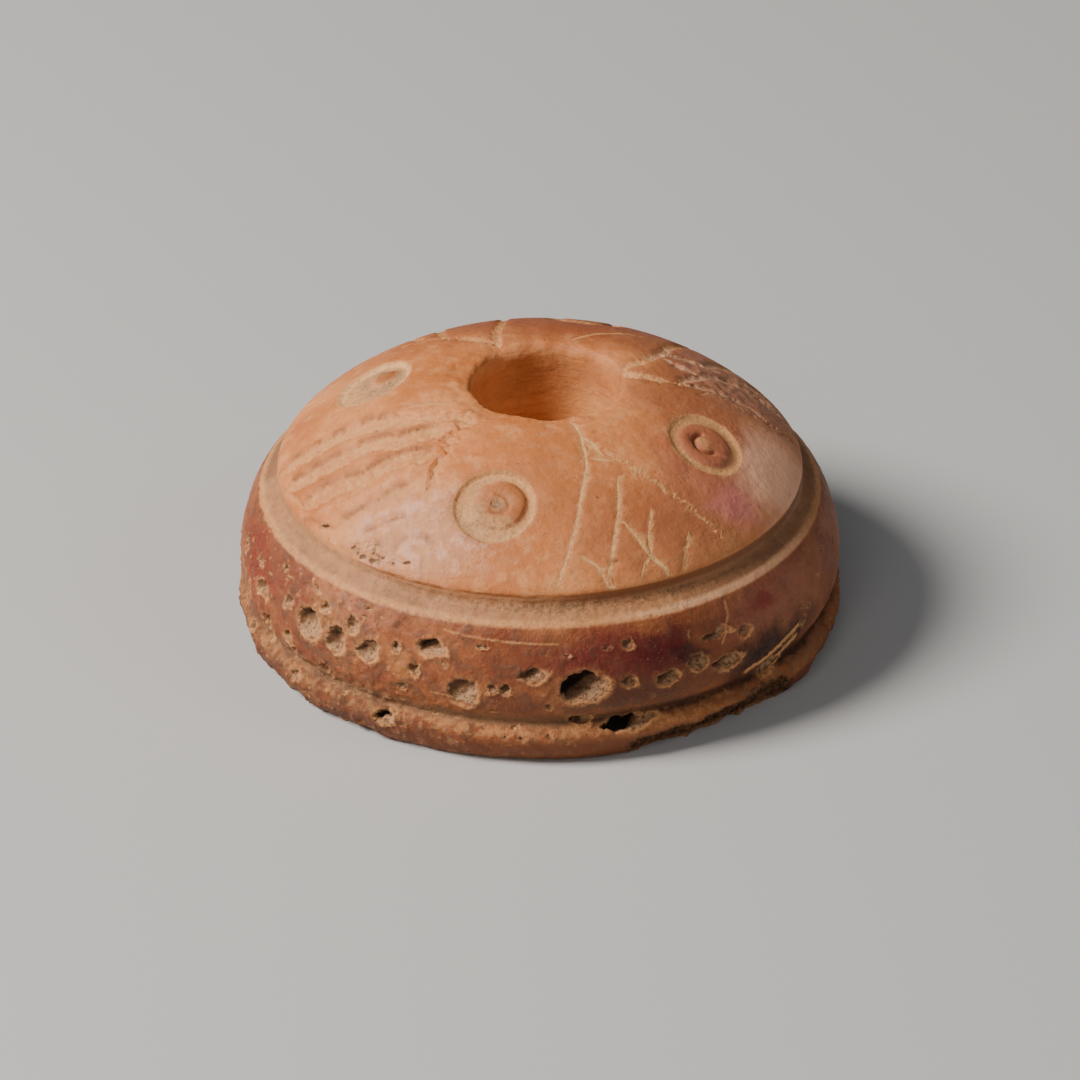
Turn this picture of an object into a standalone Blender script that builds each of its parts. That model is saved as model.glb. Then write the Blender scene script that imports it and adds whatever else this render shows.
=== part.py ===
"""A turned and carved bone spindle whorl: one solid, metres, +Z up, standing on its flat underside."""

import math
import random

import bmesh
import bpy
from mathutils import Matrix, Vector

# Turned form: radii from the lathe axis and heights above the underside
FOOT_RADIUS = 0.0179
FLANGE_RADIUS = 0.0190
FLANGE_HEIGHT = 0.0019
LOWER_GROOVE_RADIUS = 0.0183
LOWER_GROOVE_HEIGHT = 0.00285
BODY_RADIUS = 0.01885
BODY_HEIGHT = 0.00485
SHOULDER_RADIUS = 0.0175
SHOULDER_HEIGHT = 0.00916
UPPER_GROOVE_RADIUS = 0.01655
UPPER_GROOVE_HEIGHT = 0.0097
DOME_RADIUS = 0.01642
DOME_EDGE_HEIGHT = 0.01083
WHORL_HEIGHT = 0.01648

# How far each curve of the profile runs on before it turns, and the dome's slopes at its two ends
DOME_TOP_PULL = 0.0045
DOME_TOP_RISE = math.radians(10)
DOME_EDGE_PULL = 0.0017
DOME_EDGE_FALL = math.radians(68)
SHOULDER_PULL = 0.0008
BODY_PULL = 0.0014
FLANGE_PULL = 0.0008

# Spindle hole, bored slightly off the lathe axis
BORE_RADIUS = 0.0047
BORE_OFFSET_X = 0.0004
BORE_LIP = 0.00025

# Ring-and-dot marks, all cut with one scribing tool
RING_RADIUS = 0.00222
RING_WIDTH = 0.00080
RING_DEPTH = 0.00030
DOT_RADIUS = 0.00055
DOT_DEPTH = 0.00040

# Incised strokes of the hatched panels
GOUGED_STROKE_WIDTH = 0.00065
SCRATCHED_STROKE_WIDTH = 0.00042
STROKE_DEPTH = 0.00026
TICK_LENGTH = 0.00090
TICK_SPACING = 0.00120
CUT_FLOOR_SHARE = 0.33
CUT_END_SHARE = 0.3

# Losses: pores opened by wear, and a chip broken out of the flange's underside
PORE_DEPTH_SHARE = 0.8
PORE_ROUGHNESS = 0.00006
CHIP_AZIMUTH = 306.5
CHIP_LENGTH = 0.0150
CHIP_HEIGHT = 0.0023
CHIP_REACH = 0.0014
CHIP_ROUGHNESS = 0.00018
CHIP_SEED = 7

# Fineness of the faceted solid
TURN_STEPS = 80
DOME_STEPS = 9
BODY_STEPS = 4
EDGE_STEPS = 2
BORE_STEPS = 40
RING_STEPS = 28
DOT_STEPS = 10
STROKE_STEP = 0.0022
BLOB_SUBDIVISIONS = 2
CUT_CLEARANCE = 0.00025
WELD_DISTANCE = 0.000001
SHARP_ANGLE = math.radians(35)

# Bone, as linear colour, with a worn polish
BONE_COLOUR = (0.56, 0.27, 0.12, 1.0)
BONE_ROUGHNESS = 0.38

# Azimuths run counter-clockwise from +X in degrees; a share is the way out from the hole to the dome's edge
RINGS = [
    {"azimuth": 256.9, "share": 0.640},
    {"azimuth": 334.5, "share": 0.566},
    {"azimuth": 75.0, "share": 0.580},
    {"azimuth": 167.7, "share": 0.512},
]

# Each panel has an apex by the hole, a plain side, a ticked side and hatching between them
PANELS = [
    {
        "stroke width": GOUGED_STROKE_WIDTH,
        "apex": (224.5, 0.05),
        "plain side": [(204.0, 0.38), (187.7, 0.97)],
        "ticked side": [(232.0, 0.38), (239.0, 0.95)],
        "hatching": [
            [(225.0, 0.27), (195.5, 0.97)],
            [(229.8, 0.50), (204.0, 0.97)],
            [(231.3, 0.64), (217.9, 0.97)],
            [(233.7, 0.80), (224.0, 0.97)],
        ],
    },
    {
        "stroke width": SCRATCHED_STROKE_WIDTH,
        "apex": (290.5, 0.05),
        "plain side": [(289.5, 0.26), (282.0, 0.62), (273.3, 0.97)],
        "ticked side": [(290.5, 0.21), (297.1, 0.42), (315.0, 0.96)],
        "hatching": [
            [(296.5, 0.52), (284.8, 0.97)],
            [(301.8, 0.71), (292.3, 0.97)],
            [(307.9, 0.86), (301.3, 0.98)],
        ],
    },
    {
        "stroke width": SCRATCHED_STROKE_WIDTH,
        "apex": (16.7, 0.05),
        "plain side": [(32.7, 0.37), (50.0, 0.97)],
        "ticked side": [(3.5, 0.25), (4.5, 0.96)],
        "hatching": [
            [(5.5, 0.36), (38.0, 0.97)],
            [(7.6, 0.58), (29.0, 0.97)],
            [(6.0, 0.74), (18.0, 0.97)],
        ],
    },
    {
        "stroke width": SCRATCHED_STROKE_WIDTH,
        "apex": (119.0, 0.05),
        "plain side": [(106.3, 0.36), (97.0, 0.97)],
        "ticked side": [(130.0, 0.32), (144.5, 0.96)],
        "hatching": [
            [(131.0, 0.40), (113.3, 0.97)],
            [(135.5, 0.56), (123.1, 0.97)],
            [(138.5, 0.76), (132.5, 0.97)],
        ],
    },
]

# Opened pores: a share is the way up from the lower groove to the shoulder
PORES = [
    {"azimuth": 278.2, "share": 0.41, "half length": 0.00148, "half height": 0.00108},
    {"azimuth": 287.2, "share": -0.05, "half length": 0.00188, "half height": 0.00060},
    {"azimuth": 277.8, "share": 0.02, "half length": 0.00080, "half height": 0.00055},
    {"azimuth": 294.5, "share": 0.38, "half length": 0.00082, "half height": 0.00061},
    {"azimuth": 301.0, "share": 0.46, "half length": 0.00070, "half height": 0.00065},
    {"azimuth": 307.5, "share": 0.36, "half length": 0.00123, "half height": 0.00060},
    {"azimuth": 306.0, "share": 0.69, "half length": 0.00113, "half height": 0.00040},
    {"azimuth": 319.0, "share": 0.06, "half length": 0.00100, "half height": 0.00050},
    {"azimuth": 268.8, "share": 0.55, "half length": 0.00085, "half height": 0.00050},
    {"azimuth": 255.5, "share": 0.33, "half length": 0.00095, "half height": 0.00100},
    {"azimuth": 248.8, "share": 0.72, "half length": 0.00100, "half height": 0.00070},
    {"azimuth": 239.8, "share": -0.14, "half length": 0.00075, "half height": 0.00052},
    {"azimuth": 235.8, "share": 0.53, "half length": 0.00082, "half height": 0.00075},
    {"azimuth": 231.8, "share": 0.72, "half length": 0.00060, "half height": 0.00057},
    {"azimuth": 228.0, "share": 0.51, "half length": 0.00082, "half height": 0.00093},
    {"azimuth": 220.5, "share": 0.53, "half length": 0.00106, "half height": 0.00109},
    {"azimuth": 205.8, "share": 0.14, "half length": 0.00070, "half height": 0.00094},
    {"azimuth": 203.2, "share": 0.48, "half length": 0.00086, "half height": 0.00056},
]


def clear_scene():
    for old in list(bpy.data.objects):
        bpy.data.objects.remove(old, do_unlink=True)


def curve_points(start, start_handle, end_handle, end, steps):
    """Points along a cubic curve, without its start."""
    found = []
    for step in range(1, steps + 1):
        t = step / steps
        s = 1 - t
        point = start * s**3 + start_handle * 3 * s * s * t + end_handle * 3 * s * t * t + end * t**3
        found.append(point)
    return found


def dome_profile():
    """The dome from the hole's edge out and down to its own edge, as (radius, height)."""
    top = Vector((BORE_RADIUS, WHORL_HEIGHT))
    edge = Vector((DOME_RADIUS, DOME_EDGE_HEIGHT))
    top_direction = Vector((math.cos(DOME_TOP_RISE), math.sin(DOME_TOP_RISE)))
    edge_direction = Vector((math.cos(DOME_EDGE_FALL), -math.sin(DOME_EDGE_FALL)))
    top_handle = top + top_direction * DOME_TOP_PULL
    edge_handle = edge - edge_direction * DOME_EDGE_PULL
    return [top] + curve_points(top, top_handle, edge_handle, edge, DOME_STEPS)


def side_profile():
    """From below the dome's edge down the groove, the body and the flange to the underside."""
    down = Vector((0, -1))
    out = Vector((1, 0))
    groove = Vector((UPPER_GROOVE_RADIUS, UPPER_GROOVE_HEIGHT))
    shoulder = Vector((SHOULDER_RADIUS, SHOULDER_HEIGHT))
    widest = Vector((BODY_RADIUS, BODY_HEIGHT))
    low_groove = Vector((LOWER_GROOVE_RADIUS, LOWER_GROOVE_HEIGHT))
    flange = Vector((FLANGE_RADIUS, FLANGE_HEIGHT))
    foot = Vector((FOOT_RADIUS, 0))
    shoulder_handle = shoulder + (out + down) * SHOULDER_PULL
    foot_handle = foot + out * FLANGE_PULL / 2
    points = [groove, shoulder]
    points += curve_points(shoulder, shoulder_handle, widest - down * BODY_PULL, widest, BODY_STEPS)
    points += curve_points(widest, widest + down * BODY_PULL / 2, low_groove, low_groove, EDGE_STEPS)
    points += curve_points(low_groove, low_groove, flange - down * FLANGE_PULL / 2, flange, EDGE_STEPS)
    points += curve_points(flange, flange + down * FLANGE_PULL, foot_handle, foot, EDGE_STEPS + 1)
    return points


def surface_on(profile, azimuth, radius=None, height=None):
    """A point on the turned surface and its outward normal, at a radius or at a height of the profile."""
    position, key = (radius, 0) if height is None else (height, 1)
    for inner, outer in zip(profile, profile[1:]):
        low, high = sorted((inner[key], outer[key]))
        if low <= position <= high and high > low:
            break
    part = (position - inner[key]) / (outer[key] - inner[key])
    flat = inner.lerp(outer, part)
    along = (outer - inner).normalized()
    turn = Matrix.Rotation(math.radians(azimuth), 3, "Z")
    return turn @ Vector((flat.x, 0, flat.y)), turn @ Vector((-along.y, 0, along.x))


def dome_radius_at(share):
    return BORE_RADIUS + share * (DOME_RADIUS - BORE_RADIUS)


def plan_point(azimuth, share):
    turn = Matrix.Rotation(math.radians(azimuth), 2)
    return turn @ Vector((dome_radius_at(share), 0))


def on_dome(plan):
    """The dome's point and normal above a plan point."""
    return surface_on(dome_profile(), math.degrees(math.atan2(plan.y, plan.x)), radius=plan.length)


def cutter_object(name, mesh_data):
    mesh = bpy.data.meshes.new(name)
    mesh_data.to_mesh(mesh)
    mesh_data.free()
    cutter = bpy.data.objects.new(name, mesh)
    cutter.hide_render = True
    cutter.display_type = "WIRE"
    return cutter


def turned_mesh(profile, centre=Vector((0, 0, 0)), steps=TURN_STEPS):
    """A closed solid of revolution from (radius, height) points that start and end on the axis."""
    data = bmesh.new()
    ring = [data.verts.new(centre + Vector((point[0], 0, point[1]))) for point in profile]
    edges = [data.edges.new(pair) for pair in zip(ring, ring[1:])]
    bmesh.ops.spin(
        data, geom=ring + edges, cent=centre, axis=(0, 0, 1), angle=math.tau, steps=steps, use_merge=True
    )
    bmesh.ops.remove_doubles(data, verts=data.verts, dist=WELD_DISTANCE)
    bmesh.ops.recalc_face_normals(data, faces=data.faces)
    return data


def groove_cutter(name, route, width, depth, closed=False):
    """A V-cut with a narrow floor along a route of (point, normal) pairs; open ends run out to nothing."""
    data = bmesh.new()
    count = len(route)
    rings = []
    for index, (point, normal) in enumerate(route):
        before = route[index - 1 if closed else max(index - 1, 0)][0]
        after = route[(index + 1) % count if closed else min(index + 1, count - 1)][0]
        across = normal.cross(after - before).normalized()
        at_end = not closed and index in (0, count - 1)
        sunk = 0 if at_end else depth
        half = width / 2 * (CUT_END_SHARE if at_end else 1)
        top = point + normal * CUT_CLEARANCE
        floor = point - normal * sunk
        flare = half * (1 + CUT_CLEARANCE / depth)
        floor_half = half * CUT_FLOOR_SHARE
        corners = [top + across * flare, floor + across * floor_half]
        corners += [floor - across * floor_half, top - across * flare]
        rings.append([data.verts.new(corner) for corner in corners])
    for index in range(count if closed else count - 1):
        here = rings[index]
        there = rings[(index + 1) % count]
        for side in range(4):
            near = (side + 1) % 4
            data.faces.new((here[side], here[near], there[near], there[side]))
    if not closed:
        data.faces.new(rings[0])
        data.faces.new(reversed(rings[-1]))
    bmesh.ops.recalc_face_normals(data, faces=data.faces)
    return cutter_object(name, data)


def straight_route(start, end):
    """A straight line in plan laid on the dome, as (point, normal) pairs."""
    steps = max(2, math.ceil((end - start).length / STROKE_STEP))
    return [on_dome(start.lerp(end, step / steps)) for step in range(steps + 1)]


def stroke_route(marks):
    """A stroke through several (azimuth, share) marks."""
    corners = [plan_point(*mark) for mark in marks]
    route = straight_route(corners[0], corners[1])
    for start, end in zip(corners[1:], corners[2:]):
        route += straight_route(start, end)[1:]
    return route


def ring_cutters():
    found = []
    for number, ring in enumerate(RINGS):
        centre, normal = on_dome(plan_point(ring["azimuth"], ring["share"]))
        across = Vector((0, 0, 1)).cross(normal).normalized()
        along = normal.cross(across)
        route = []
        for step in range(RING_STEPS):
            angle = math.tau * step / RING_STEPS
            rim = centre + (across * math.cos(angle) + along * math.sin(angle)) * RING_RADIUS
            route.append(on_dome(rim.to_2d()))
        found.append(groove_cutter(f"ring_groove_{number}", route, RING_WIDTH, RING_DEPTH, closed=True))
        dot = bmesh.new()
        tall = DOT_DEPTH + CUT_CLEARANCE
        bmesh.ops.create_cone(
            dot, cap_ends=True, segments=DOT_STEPS, radius1=DOT_RADIUS / 2, radius2=DOT_RADIUS, depth=tall
        )
        middle = Matrix.Translation(centre + normal * (CUT_CLEARANCE - DOT_DEPTH) / 2)
        lean = normal.to_track_quat("Z", "Y").to_matrix().to_4x4()
        bmesh.ops.transform(dot, matrix=middle @ lean, verts=dot.verts)
        found.append(cutter_object(f"ring_dot_{number}", dot))
    return found


def tick_routes(marks):
    """Short strokes across a ticked side, evenly spaced from its second mark to its foot."""
    start, end = plan_point(*marks[-2]), plan_point(*marks[-1])
    along = (end - start).normalized()
    across = Vector((-along.y, along.x)) * TICK_LENGTH / 2
    count = int((end - start).length / TICK_SPACING)
    routes = []
    for index in range(1, count):
        middle = start + along * TICK_SPACING * index
        routes.append([on_dome(middle + across * side) for side in (-1, 0, 1)])
    return routes


def panel_cutters():
    found = []
    for number, panel in enumerate(PANELS):
        sides = [[panel["apex"]] + panel["plain side"], [panel["apex"]] + panel["ticked side"]]
        for index, marks in enumerate(sides + panel["hatching"]):
            name = f"panel_{number}_stroke_{index}"
            found.append(groove_cutter(name, stroke_route(marks), panel["stroke width"], STROKE_DEPTH))
        for index, route in enumerate(tick_routes(panel["ticked side"])):
            name = f"panel_{number}_tick_{index}"
            found.append(groove_cutter(name, route, SCRATCHED_STROKE_WIDTH, STROKE_DEPTH))
    return found


def blob_mesh(place, normal, half_length, half_height, half_depth, roughness, seed):
    """A rough pebble whose length lies level and whose depth lies along a normal."""
    data = bmesh.new()
    bmesh.ops.create_icosphere(data, subdivisions=BLOB_SUBDIVISIONS, radius=1)
    level = Vector((0, 0, 1)).cross(normal).normalized()
    rise = normal.cross(level)
    noise = random.Random(seed)
    for vert in data.verts:
        x, y, z = vert.co
        grown = 1 + noise.uniform(-1, 1) * roughness / half_depth
        vert.co = place + (level * x * half_length + rise * y * half_height + normal * z * half_depth) * grown
    return data


def pore_cutters():
    found = []
    profile = side_profile()
    for number, pore in enumerate(PORES):
        height = LOWER_GROOVE_HEIGHT + pore["share"] * (SHOULDER_HEIGHT - LOWER_GROOVE_HEIGHT)
        place, normal = surface_on(profile, pore["azimuth"], height=height)
        half_height = pore["half height"]
        depth = half_height * PORE_DEPTH_SHARE
        blob = blob_mesh(place, normal, pore["half length"], half_height, depth, PORE_ROUGHNESS, number)
        found.append(cutter_object(f"pore_{number}", blob))
    return found


def chip_cutter():
    outward = Matrix.Rotation(math.radians(CHIP_AZIMUTH), 3, "Z") @ Vector((1, 0, 0))
    place = outward * FLANGE_RADIUS
    chip = blob_mesh(place, outward, CHIP_LENGTH / 2, CHIP_HEIGHT, CHIP_REACH, CHIP_ROUGHNESS, CHIP_SEED)
    return [cutter_object("flange_chip", chip)]


def bore_cutter():
    """The spindle hole, flared a little where each end has worn round."""
    above = WHORL_HEIGHT + DOME_TOP_PULL
    wide = BORE_RADIUS + BORE_LIP
    below = -CUT_CLEARANCE
    profile = [
        (0, above),
        (wide + above - WHORL_HEIGHT, above),
        (wide, WHORL_HEIGHT),
        (BORE_RADIUS, WHORL_HEIGHT - 2 * BORE_LIP),
        (BORE_RADIUS, BORE_LIP),
        (wide + CUT_CLEARANCE, below),
        (0, below),
    ]
    data = turned_mesh(profile, Vector((BORE_OFFSET_X, 0, 0)), BORE_STEPS)
    return [cutter_object("spindle_hole", data)]


def cut_away(solid, name, cutters):
    """One Boolean for a whole family of cutters."""
    family = bpy.data.collections.new(name)
    bpy.context.scene.collection.children.link(family)
    for cutter in cutters:
        family.objects.link(cutter)
    cut = solid.modifiers.new(name, "BOOLEAN")
    cut.operation = "DIFFERENCE"
    cut.solver = "EXACT"
    cut.operand_type = "COLLECTION"
    cut.collection = family


def bone_material():
    bone = bpy.data.materials.new("bone")
    bone.use_nodes = True
    shader = bone.node_tree.nodes["Principled BSDF"]
    shader.inputs["Base Color"].default_value = BONE_COLOUR
    shader.inputs["Roughness"].default_value = BONE_ROUGHNESS
    shader.inputs["Metallic"].default_value = 0.0
    return bone


def make_whorl():
    profile = [(0, WHORL_HEIGHT)] + dome_profile() + side_profile() + [(0, 0)]
    mesh = bpy.data.meshes.new("whorl")
    data = turned_mesh(profile)
    data.to_mesh(mesh)
    data.free()
    mesh.materials.append(bone_material())
    mesh.shade_smooth()
    mesh.set_sharp_from_angle(angle=SHARP_ANGLE)
    whorl = bpy.data.objects.new("whorl", mesh)
    bpy.context.scene.collection.objects.link(whorl)
    cut_away(whorl, "Spindle hole", bore_cutter())
    cut_away(whorl, "Flange chip", chip_cutter())
    cut_away(whorl, "Ring and dot", ring_cutters())
    cut_away(whorl, "Hatched panels", panel_cutters())
    cut_away(whorl, "Pores", pore_cutters())
    return whorl


clear_scene()
make_whorl()
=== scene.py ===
import math
import random

import bpy
from mathutils import Matrix, Vector


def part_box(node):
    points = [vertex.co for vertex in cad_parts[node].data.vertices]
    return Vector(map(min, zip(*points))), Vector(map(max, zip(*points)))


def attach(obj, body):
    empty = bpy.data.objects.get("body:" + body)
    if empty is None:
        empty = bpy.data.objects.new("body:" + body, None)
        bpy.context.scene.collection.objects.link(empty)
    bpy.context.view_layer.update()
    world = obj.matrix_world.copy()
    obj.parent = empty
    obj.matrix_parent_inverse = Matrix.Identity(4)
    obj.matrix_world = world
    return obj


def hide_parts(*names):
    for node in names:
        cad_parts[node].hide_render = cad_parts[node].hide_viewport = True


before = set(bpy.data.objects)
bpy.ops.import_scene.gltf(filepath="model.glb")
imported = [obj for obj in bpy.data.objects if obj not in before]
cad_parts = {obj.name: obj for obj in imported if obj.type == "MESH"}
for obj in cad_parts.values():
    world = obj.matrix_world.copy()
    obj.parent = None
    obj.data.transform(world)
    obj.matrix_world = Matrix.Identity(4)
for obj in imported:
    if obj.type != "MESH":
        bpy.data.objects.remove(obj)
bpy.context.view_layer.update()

whorlLow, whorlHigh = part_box("whorl")
unit = (whorlHigh.x - whorlLow.x) / 38  # about a millimetre; every size below is in these
crownHeight = (whorlHigh.z - whorlLow.z) / unit
print(f"frame loaded: whorl {whorlHigh.x / unit:.1f} in radius and {crownHeight:.1f} high")


class Bench:
    # short ways to add nodes to one tree

    def __init__(self, tree):
        self.tree = tree

    def feed(self, socket, value):
        if isinstance(value, bpy.types.NodeSocket):
            self.tree.links.new(value, socket)
        elif socket.type == "RGBA":
            socket.default_value = (*value, 1)
        else:
            socket.default_value = value

    def add(self, kind, inputs=(), **settings):
        node = self.tree.nodes.new(kind)
        for name, value in settings.items():
            setattr(node, name, value)
        for key, value in dict(inputs).items():
            self.feed(node.inputs[key], value)
        return node

    def maths(self, operation, a, b=0.0, c=0.0):
        return self.add("ShaderNodeMath", {0: a, 1: b, 2: c}, operation=operation).outputs[0]

    def times(self, a, b):
        return self.maths("MULTIPLY", a, b)

    def plus(self, a, b):
        return self.maths("ADD", a, b)

    def less(self, a, b):
        return self.maths("SUBTRACT", a, b)

    def most(self, a, b):
        return self.maths("MAXIMUM", a, b)

    def vectors(self, operation, a, b=(0, 0, 0)):
        node = self.add("ShaderNodeVectorMath", {0: a, 1: b}, operation=operation)
        return node.outputs["Value" if operation in ("DOT_PRODUCT", "LENGTH") else "Vector"]

    def added(self, a, b):
        return self.vectors("ADD", a, b)

    def gap(self, a, b):
        return self.vectors("SUBTRACT", a, b)

    def dot(self, a, b):
        return self.vectors("DOT_PRODUCT", a, b)

    def length(self, vector):
        return self.vectors("LENGTH", vector)

    def scaled(self, vector, amount):
        node = self.add("ShaderNodeVectorMath", {0: vector, "Scale": amount}, operation="SCALE")
        return node.outputs["Vector"]

    def ramp(self, value, start, end, low=0.0, high=1.0, soft=True):
        # goes from low to high as the value goes from start to end
        inputs = {0: value, 1: start, 2: end, 3: low, 4: high}
        kind = "SMOOTHSTEP" if soft else "LINEAR"
        return self.add("ShaderNodeMapRange", inputs, interpolation_type=kind).outputs[0]

    def band(self, value, low, rise, fall, high):
        # full from rise to fall, and none below low or above high
        return self.times(self.ramp(value, low, rise), self.ramp(value, high, fall))

    def towards(self, angle, degrees, far, near):
        # full where the angle is near this many degrees, and none far from it
        return self.ramp(self.maths("ABSOLUTE", self.less(angle, math.radians(degrees))), far, near)

    def egg(self, place, centre, reach, far, near, full=1.0):
        # full near the centre and none far from it, in shares of the reach
        share = self.vectors("DIVIDE", self.gap(place, centre), reach)
        return self.ramp(self.length(share), far, near, 0.0, full)

    def noise(self, vector, scale, detail=2.0, roughness=0.5, output="Fac"):
        inputs = {"Vector": vector, "Scale": scale, "Detail": detail, "Roughness": roughness}
        return self.add("ShaderNodeTexNoise", inputs).outputs[output]

    def wave(self, *settings):
        # noise about zero
        return self.less(self.noise(*settings), 0.5)

    def jitter(self, *settings):
        # noise about zero in all three directions
        return self.gap(self.noise(*settings, output="Color"), (0.5, 0.5, 0.5))

    def tint(self, amount, below, above):
        inputs = {0: amount, 6: below, 7: above}
        return self.add("ShaderNodeMix", inputs, data_type="RGBA").outputs[2]

    def split(self, vector):
        return self.add("ShaderNodeSeparateXYZ", {0: vector}).outputs

    def join(self, x, y, z):
        return self.add("ShaderNodeCombineXYZ", {0: x, 1: y, 2: z}).outputs[0]


# the turned form, as (radius, height)
turned = {
    "bore": 4.7,
    "bore lip": (5.1, 16.53),
    "crown": (4.7, 16.48),
    "crown pull": (4.43, 0.78),
    "dome edge": (16.42, 10.83),
    "dome edge pull": (-0.64, 1.58),
    "groove wall": (16.44, 10.30),
    "groove root": (16.62, 9.80),
    "shoulder": (17.5, 9.16),
    "body": (18.85, 4.85),
    "lower groove": (18.3, 2.85),
    "flange": (19.0, 1.9),
    "foot": (17.9, 0.0),
    "fine spacing": 0.075,
    "coarse spacing": 0.3,
    "rounds": 1300,
    "triangles": 190000,  # once the smooth parts are thinned out
    "bore shift": 0.4,  # the hole was bored a little to the right of the lathe axis
    "wobble": 0.05,
}


def pair(name):
    return Vector(turned[name])


def curveRun(start, leave, arrive, end, spacing):
    # points of a cubic curve after its start, at about even spacing
    steps = max(2, round((end - start).length / spacing))
    found = []
    for step in range(1, steps + 1):
        t = step / steps
        s = 1 - t
        found.append(start * s**3 + leave * 3 * s * s * t + arrive * 3 * s * t * t + end * t**3)
    return found


def straightRun(start, end, spacing):
    return curveRun(start, start.lerp(end, 1 / 3), start.lerp(end, 2 / 3), end, spacing)


def domeRun(spacing):
    crown, edge = pair("crown"), pair("dome edge")
    run = curveRun(crown, crown + pair("crown pull"), edge + pair("dome edge pull"), edge, spacing)
    return [point for point in run if point.x > turned["bore lip"][0] + 0.05]


def sideRun(spacing):
    wall, root, shoulder, body = pair("groove wall"), pair("groove root"), pair("shoulder"), pair("body")
    low, flange, foot = pair("lower groove"), pair("flange"), pair("foot")
    edge = pair("dome edge")
    run = curveRun(edge, edge + Vector((0.06, -0.2)), wall + Vector((-0.02, 0.2)), wall, spacing)
    run += curveRun(wall, wall + Vector((-0.02, -0.2)), root + Vector((-0.16, 0.1)), root, spacing)
    run += straightRun(root, shoulder, spacing)
    run += curveRun(shoulder, shoulder + Vector((0.6, -0.5)), body + Vector((0, 1.52)), body, spacing)
    run += curveRun(body, body - Vector((0, 1.14)), low + Vector((0.28, 0.57)), low, spacing)
    run += curveRun(low, low - Vector((0.02, 0.2)), flange + Vector((0, 0.57)), flange, spacing)
    run += curveRun(flange, flange - Vector((0, 0.95)), foot + Vector((0.4, 0)), foot, spacing)
    return run


def wholeProfile():
    # once round the section: up the hole, out over the dome, down the side and in along the underside
    fine, coarse = turned["fine spacing"], turned["coarse spacing"]
    bore, lip, foot = turned["bore"], pair("bore lip"), pair("foot")
    lowLip, lowEnd = Vector((bore + 0.3, 0.02)), Vector((bore, 0.5))
    highEnd = Vector((bore, lip.y - 0.75))
    points = curveRun(lowLip, lowLip + Vector((-0.2, 0)), lowEnd - Vector((0, 0.2)), lowEnd, 0.1)
    points += straightRun(lowEnd, highEnd, coarse)
    points += curveRun(highEnd, highEnd + Vector((0, 0.5)), lip - Vector((0.2, 0.04)), lip, fine)
    points += domeRun(fine)
    points += sideRun(fine)
    points += straightRun(foot, lowLip, coarse)
    return points


def outwardOf(points):
    # the direction out of the bone at each point of a closed section
    found = []
    for index in range(len(points)):
        along = points[(index + 1) % len(points)] - points[index - 1]
        found.append(Vector((-along.y, along.x)).normalized())
    return found


domeLine = domeRun(0.1)
sideLine = sideRun(0.1)


def spun(azimuth, flat):
    turn = math.radians(azimuth)
    return Vector((flat.x * math.cos(turn), flat.x * math.sin(turn), flat.y))


def onLine(line, azimuth, value, key):
    # the place and outward direction where a line of the section has this radius (key 0) or height (key 1)
    for first, last in zip(line, line[1:]):
        if min(first[key], last[key]) <= value <= max(first[key], last[key]) and first[key] != last[key]:
            break
    part = min(1.0, max(0.0, (value - first[key]) / (last[key] - first[key])))
    along = (last - first).normalized()
    return spun(azimuth, first.lerp(last, part)), spun(azimuth, Vector((-along.y, along.x)))


def onDome(x, y):
    radius = min(max(math.hypot(x, y), domeLine[0].x), domeLine[-1].x)
    return onLine(domeLine, math.degrees(math.atan2(y, x)), radius, 0)


def onSide(azimuth, height):
    return onLine(sideLine, azimuth, height, 1)


def guideObject(name, points, edges, **columns):
    # a helper mesh in metres whose named columns the tree reads; it is removed once the bone is made
    mesh = bpy.data.meshes.new(name)
    mesh.from_pydata([point * unit for point in points], edges, [])
    for column, values in columns.items():
        isVector = isinstance(values[0], Vector)
        attribute = mesh.attributes.new(column, "FLOAT_VECTOR" if isVector else "FLOAT", "POINT")
        for index, value in enumerate(values):
            if isVector:
                attribute.data[index].vector = value
            else:
                attribute.data[index].value = value
    guide = bpy.data.objects.new(name, mesh)
    bpy.context.scene.collection.objects.link(guide)
    return guide


def profileGuide():
    points = wholeProfile()
    places = [Vector((point.x, 0, point.y)) for point in points]
    outward = [Vector((flat.x, 0, flat.y)) for flat in outwardOf(points)]
    edges = [(index, (index + 1) % len(points)) for index in range(len(points))]
    sections = [place * unit for place in places]
    return guideObject("profileGuide", places, edges, section=sections, outward=outward)


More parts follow.
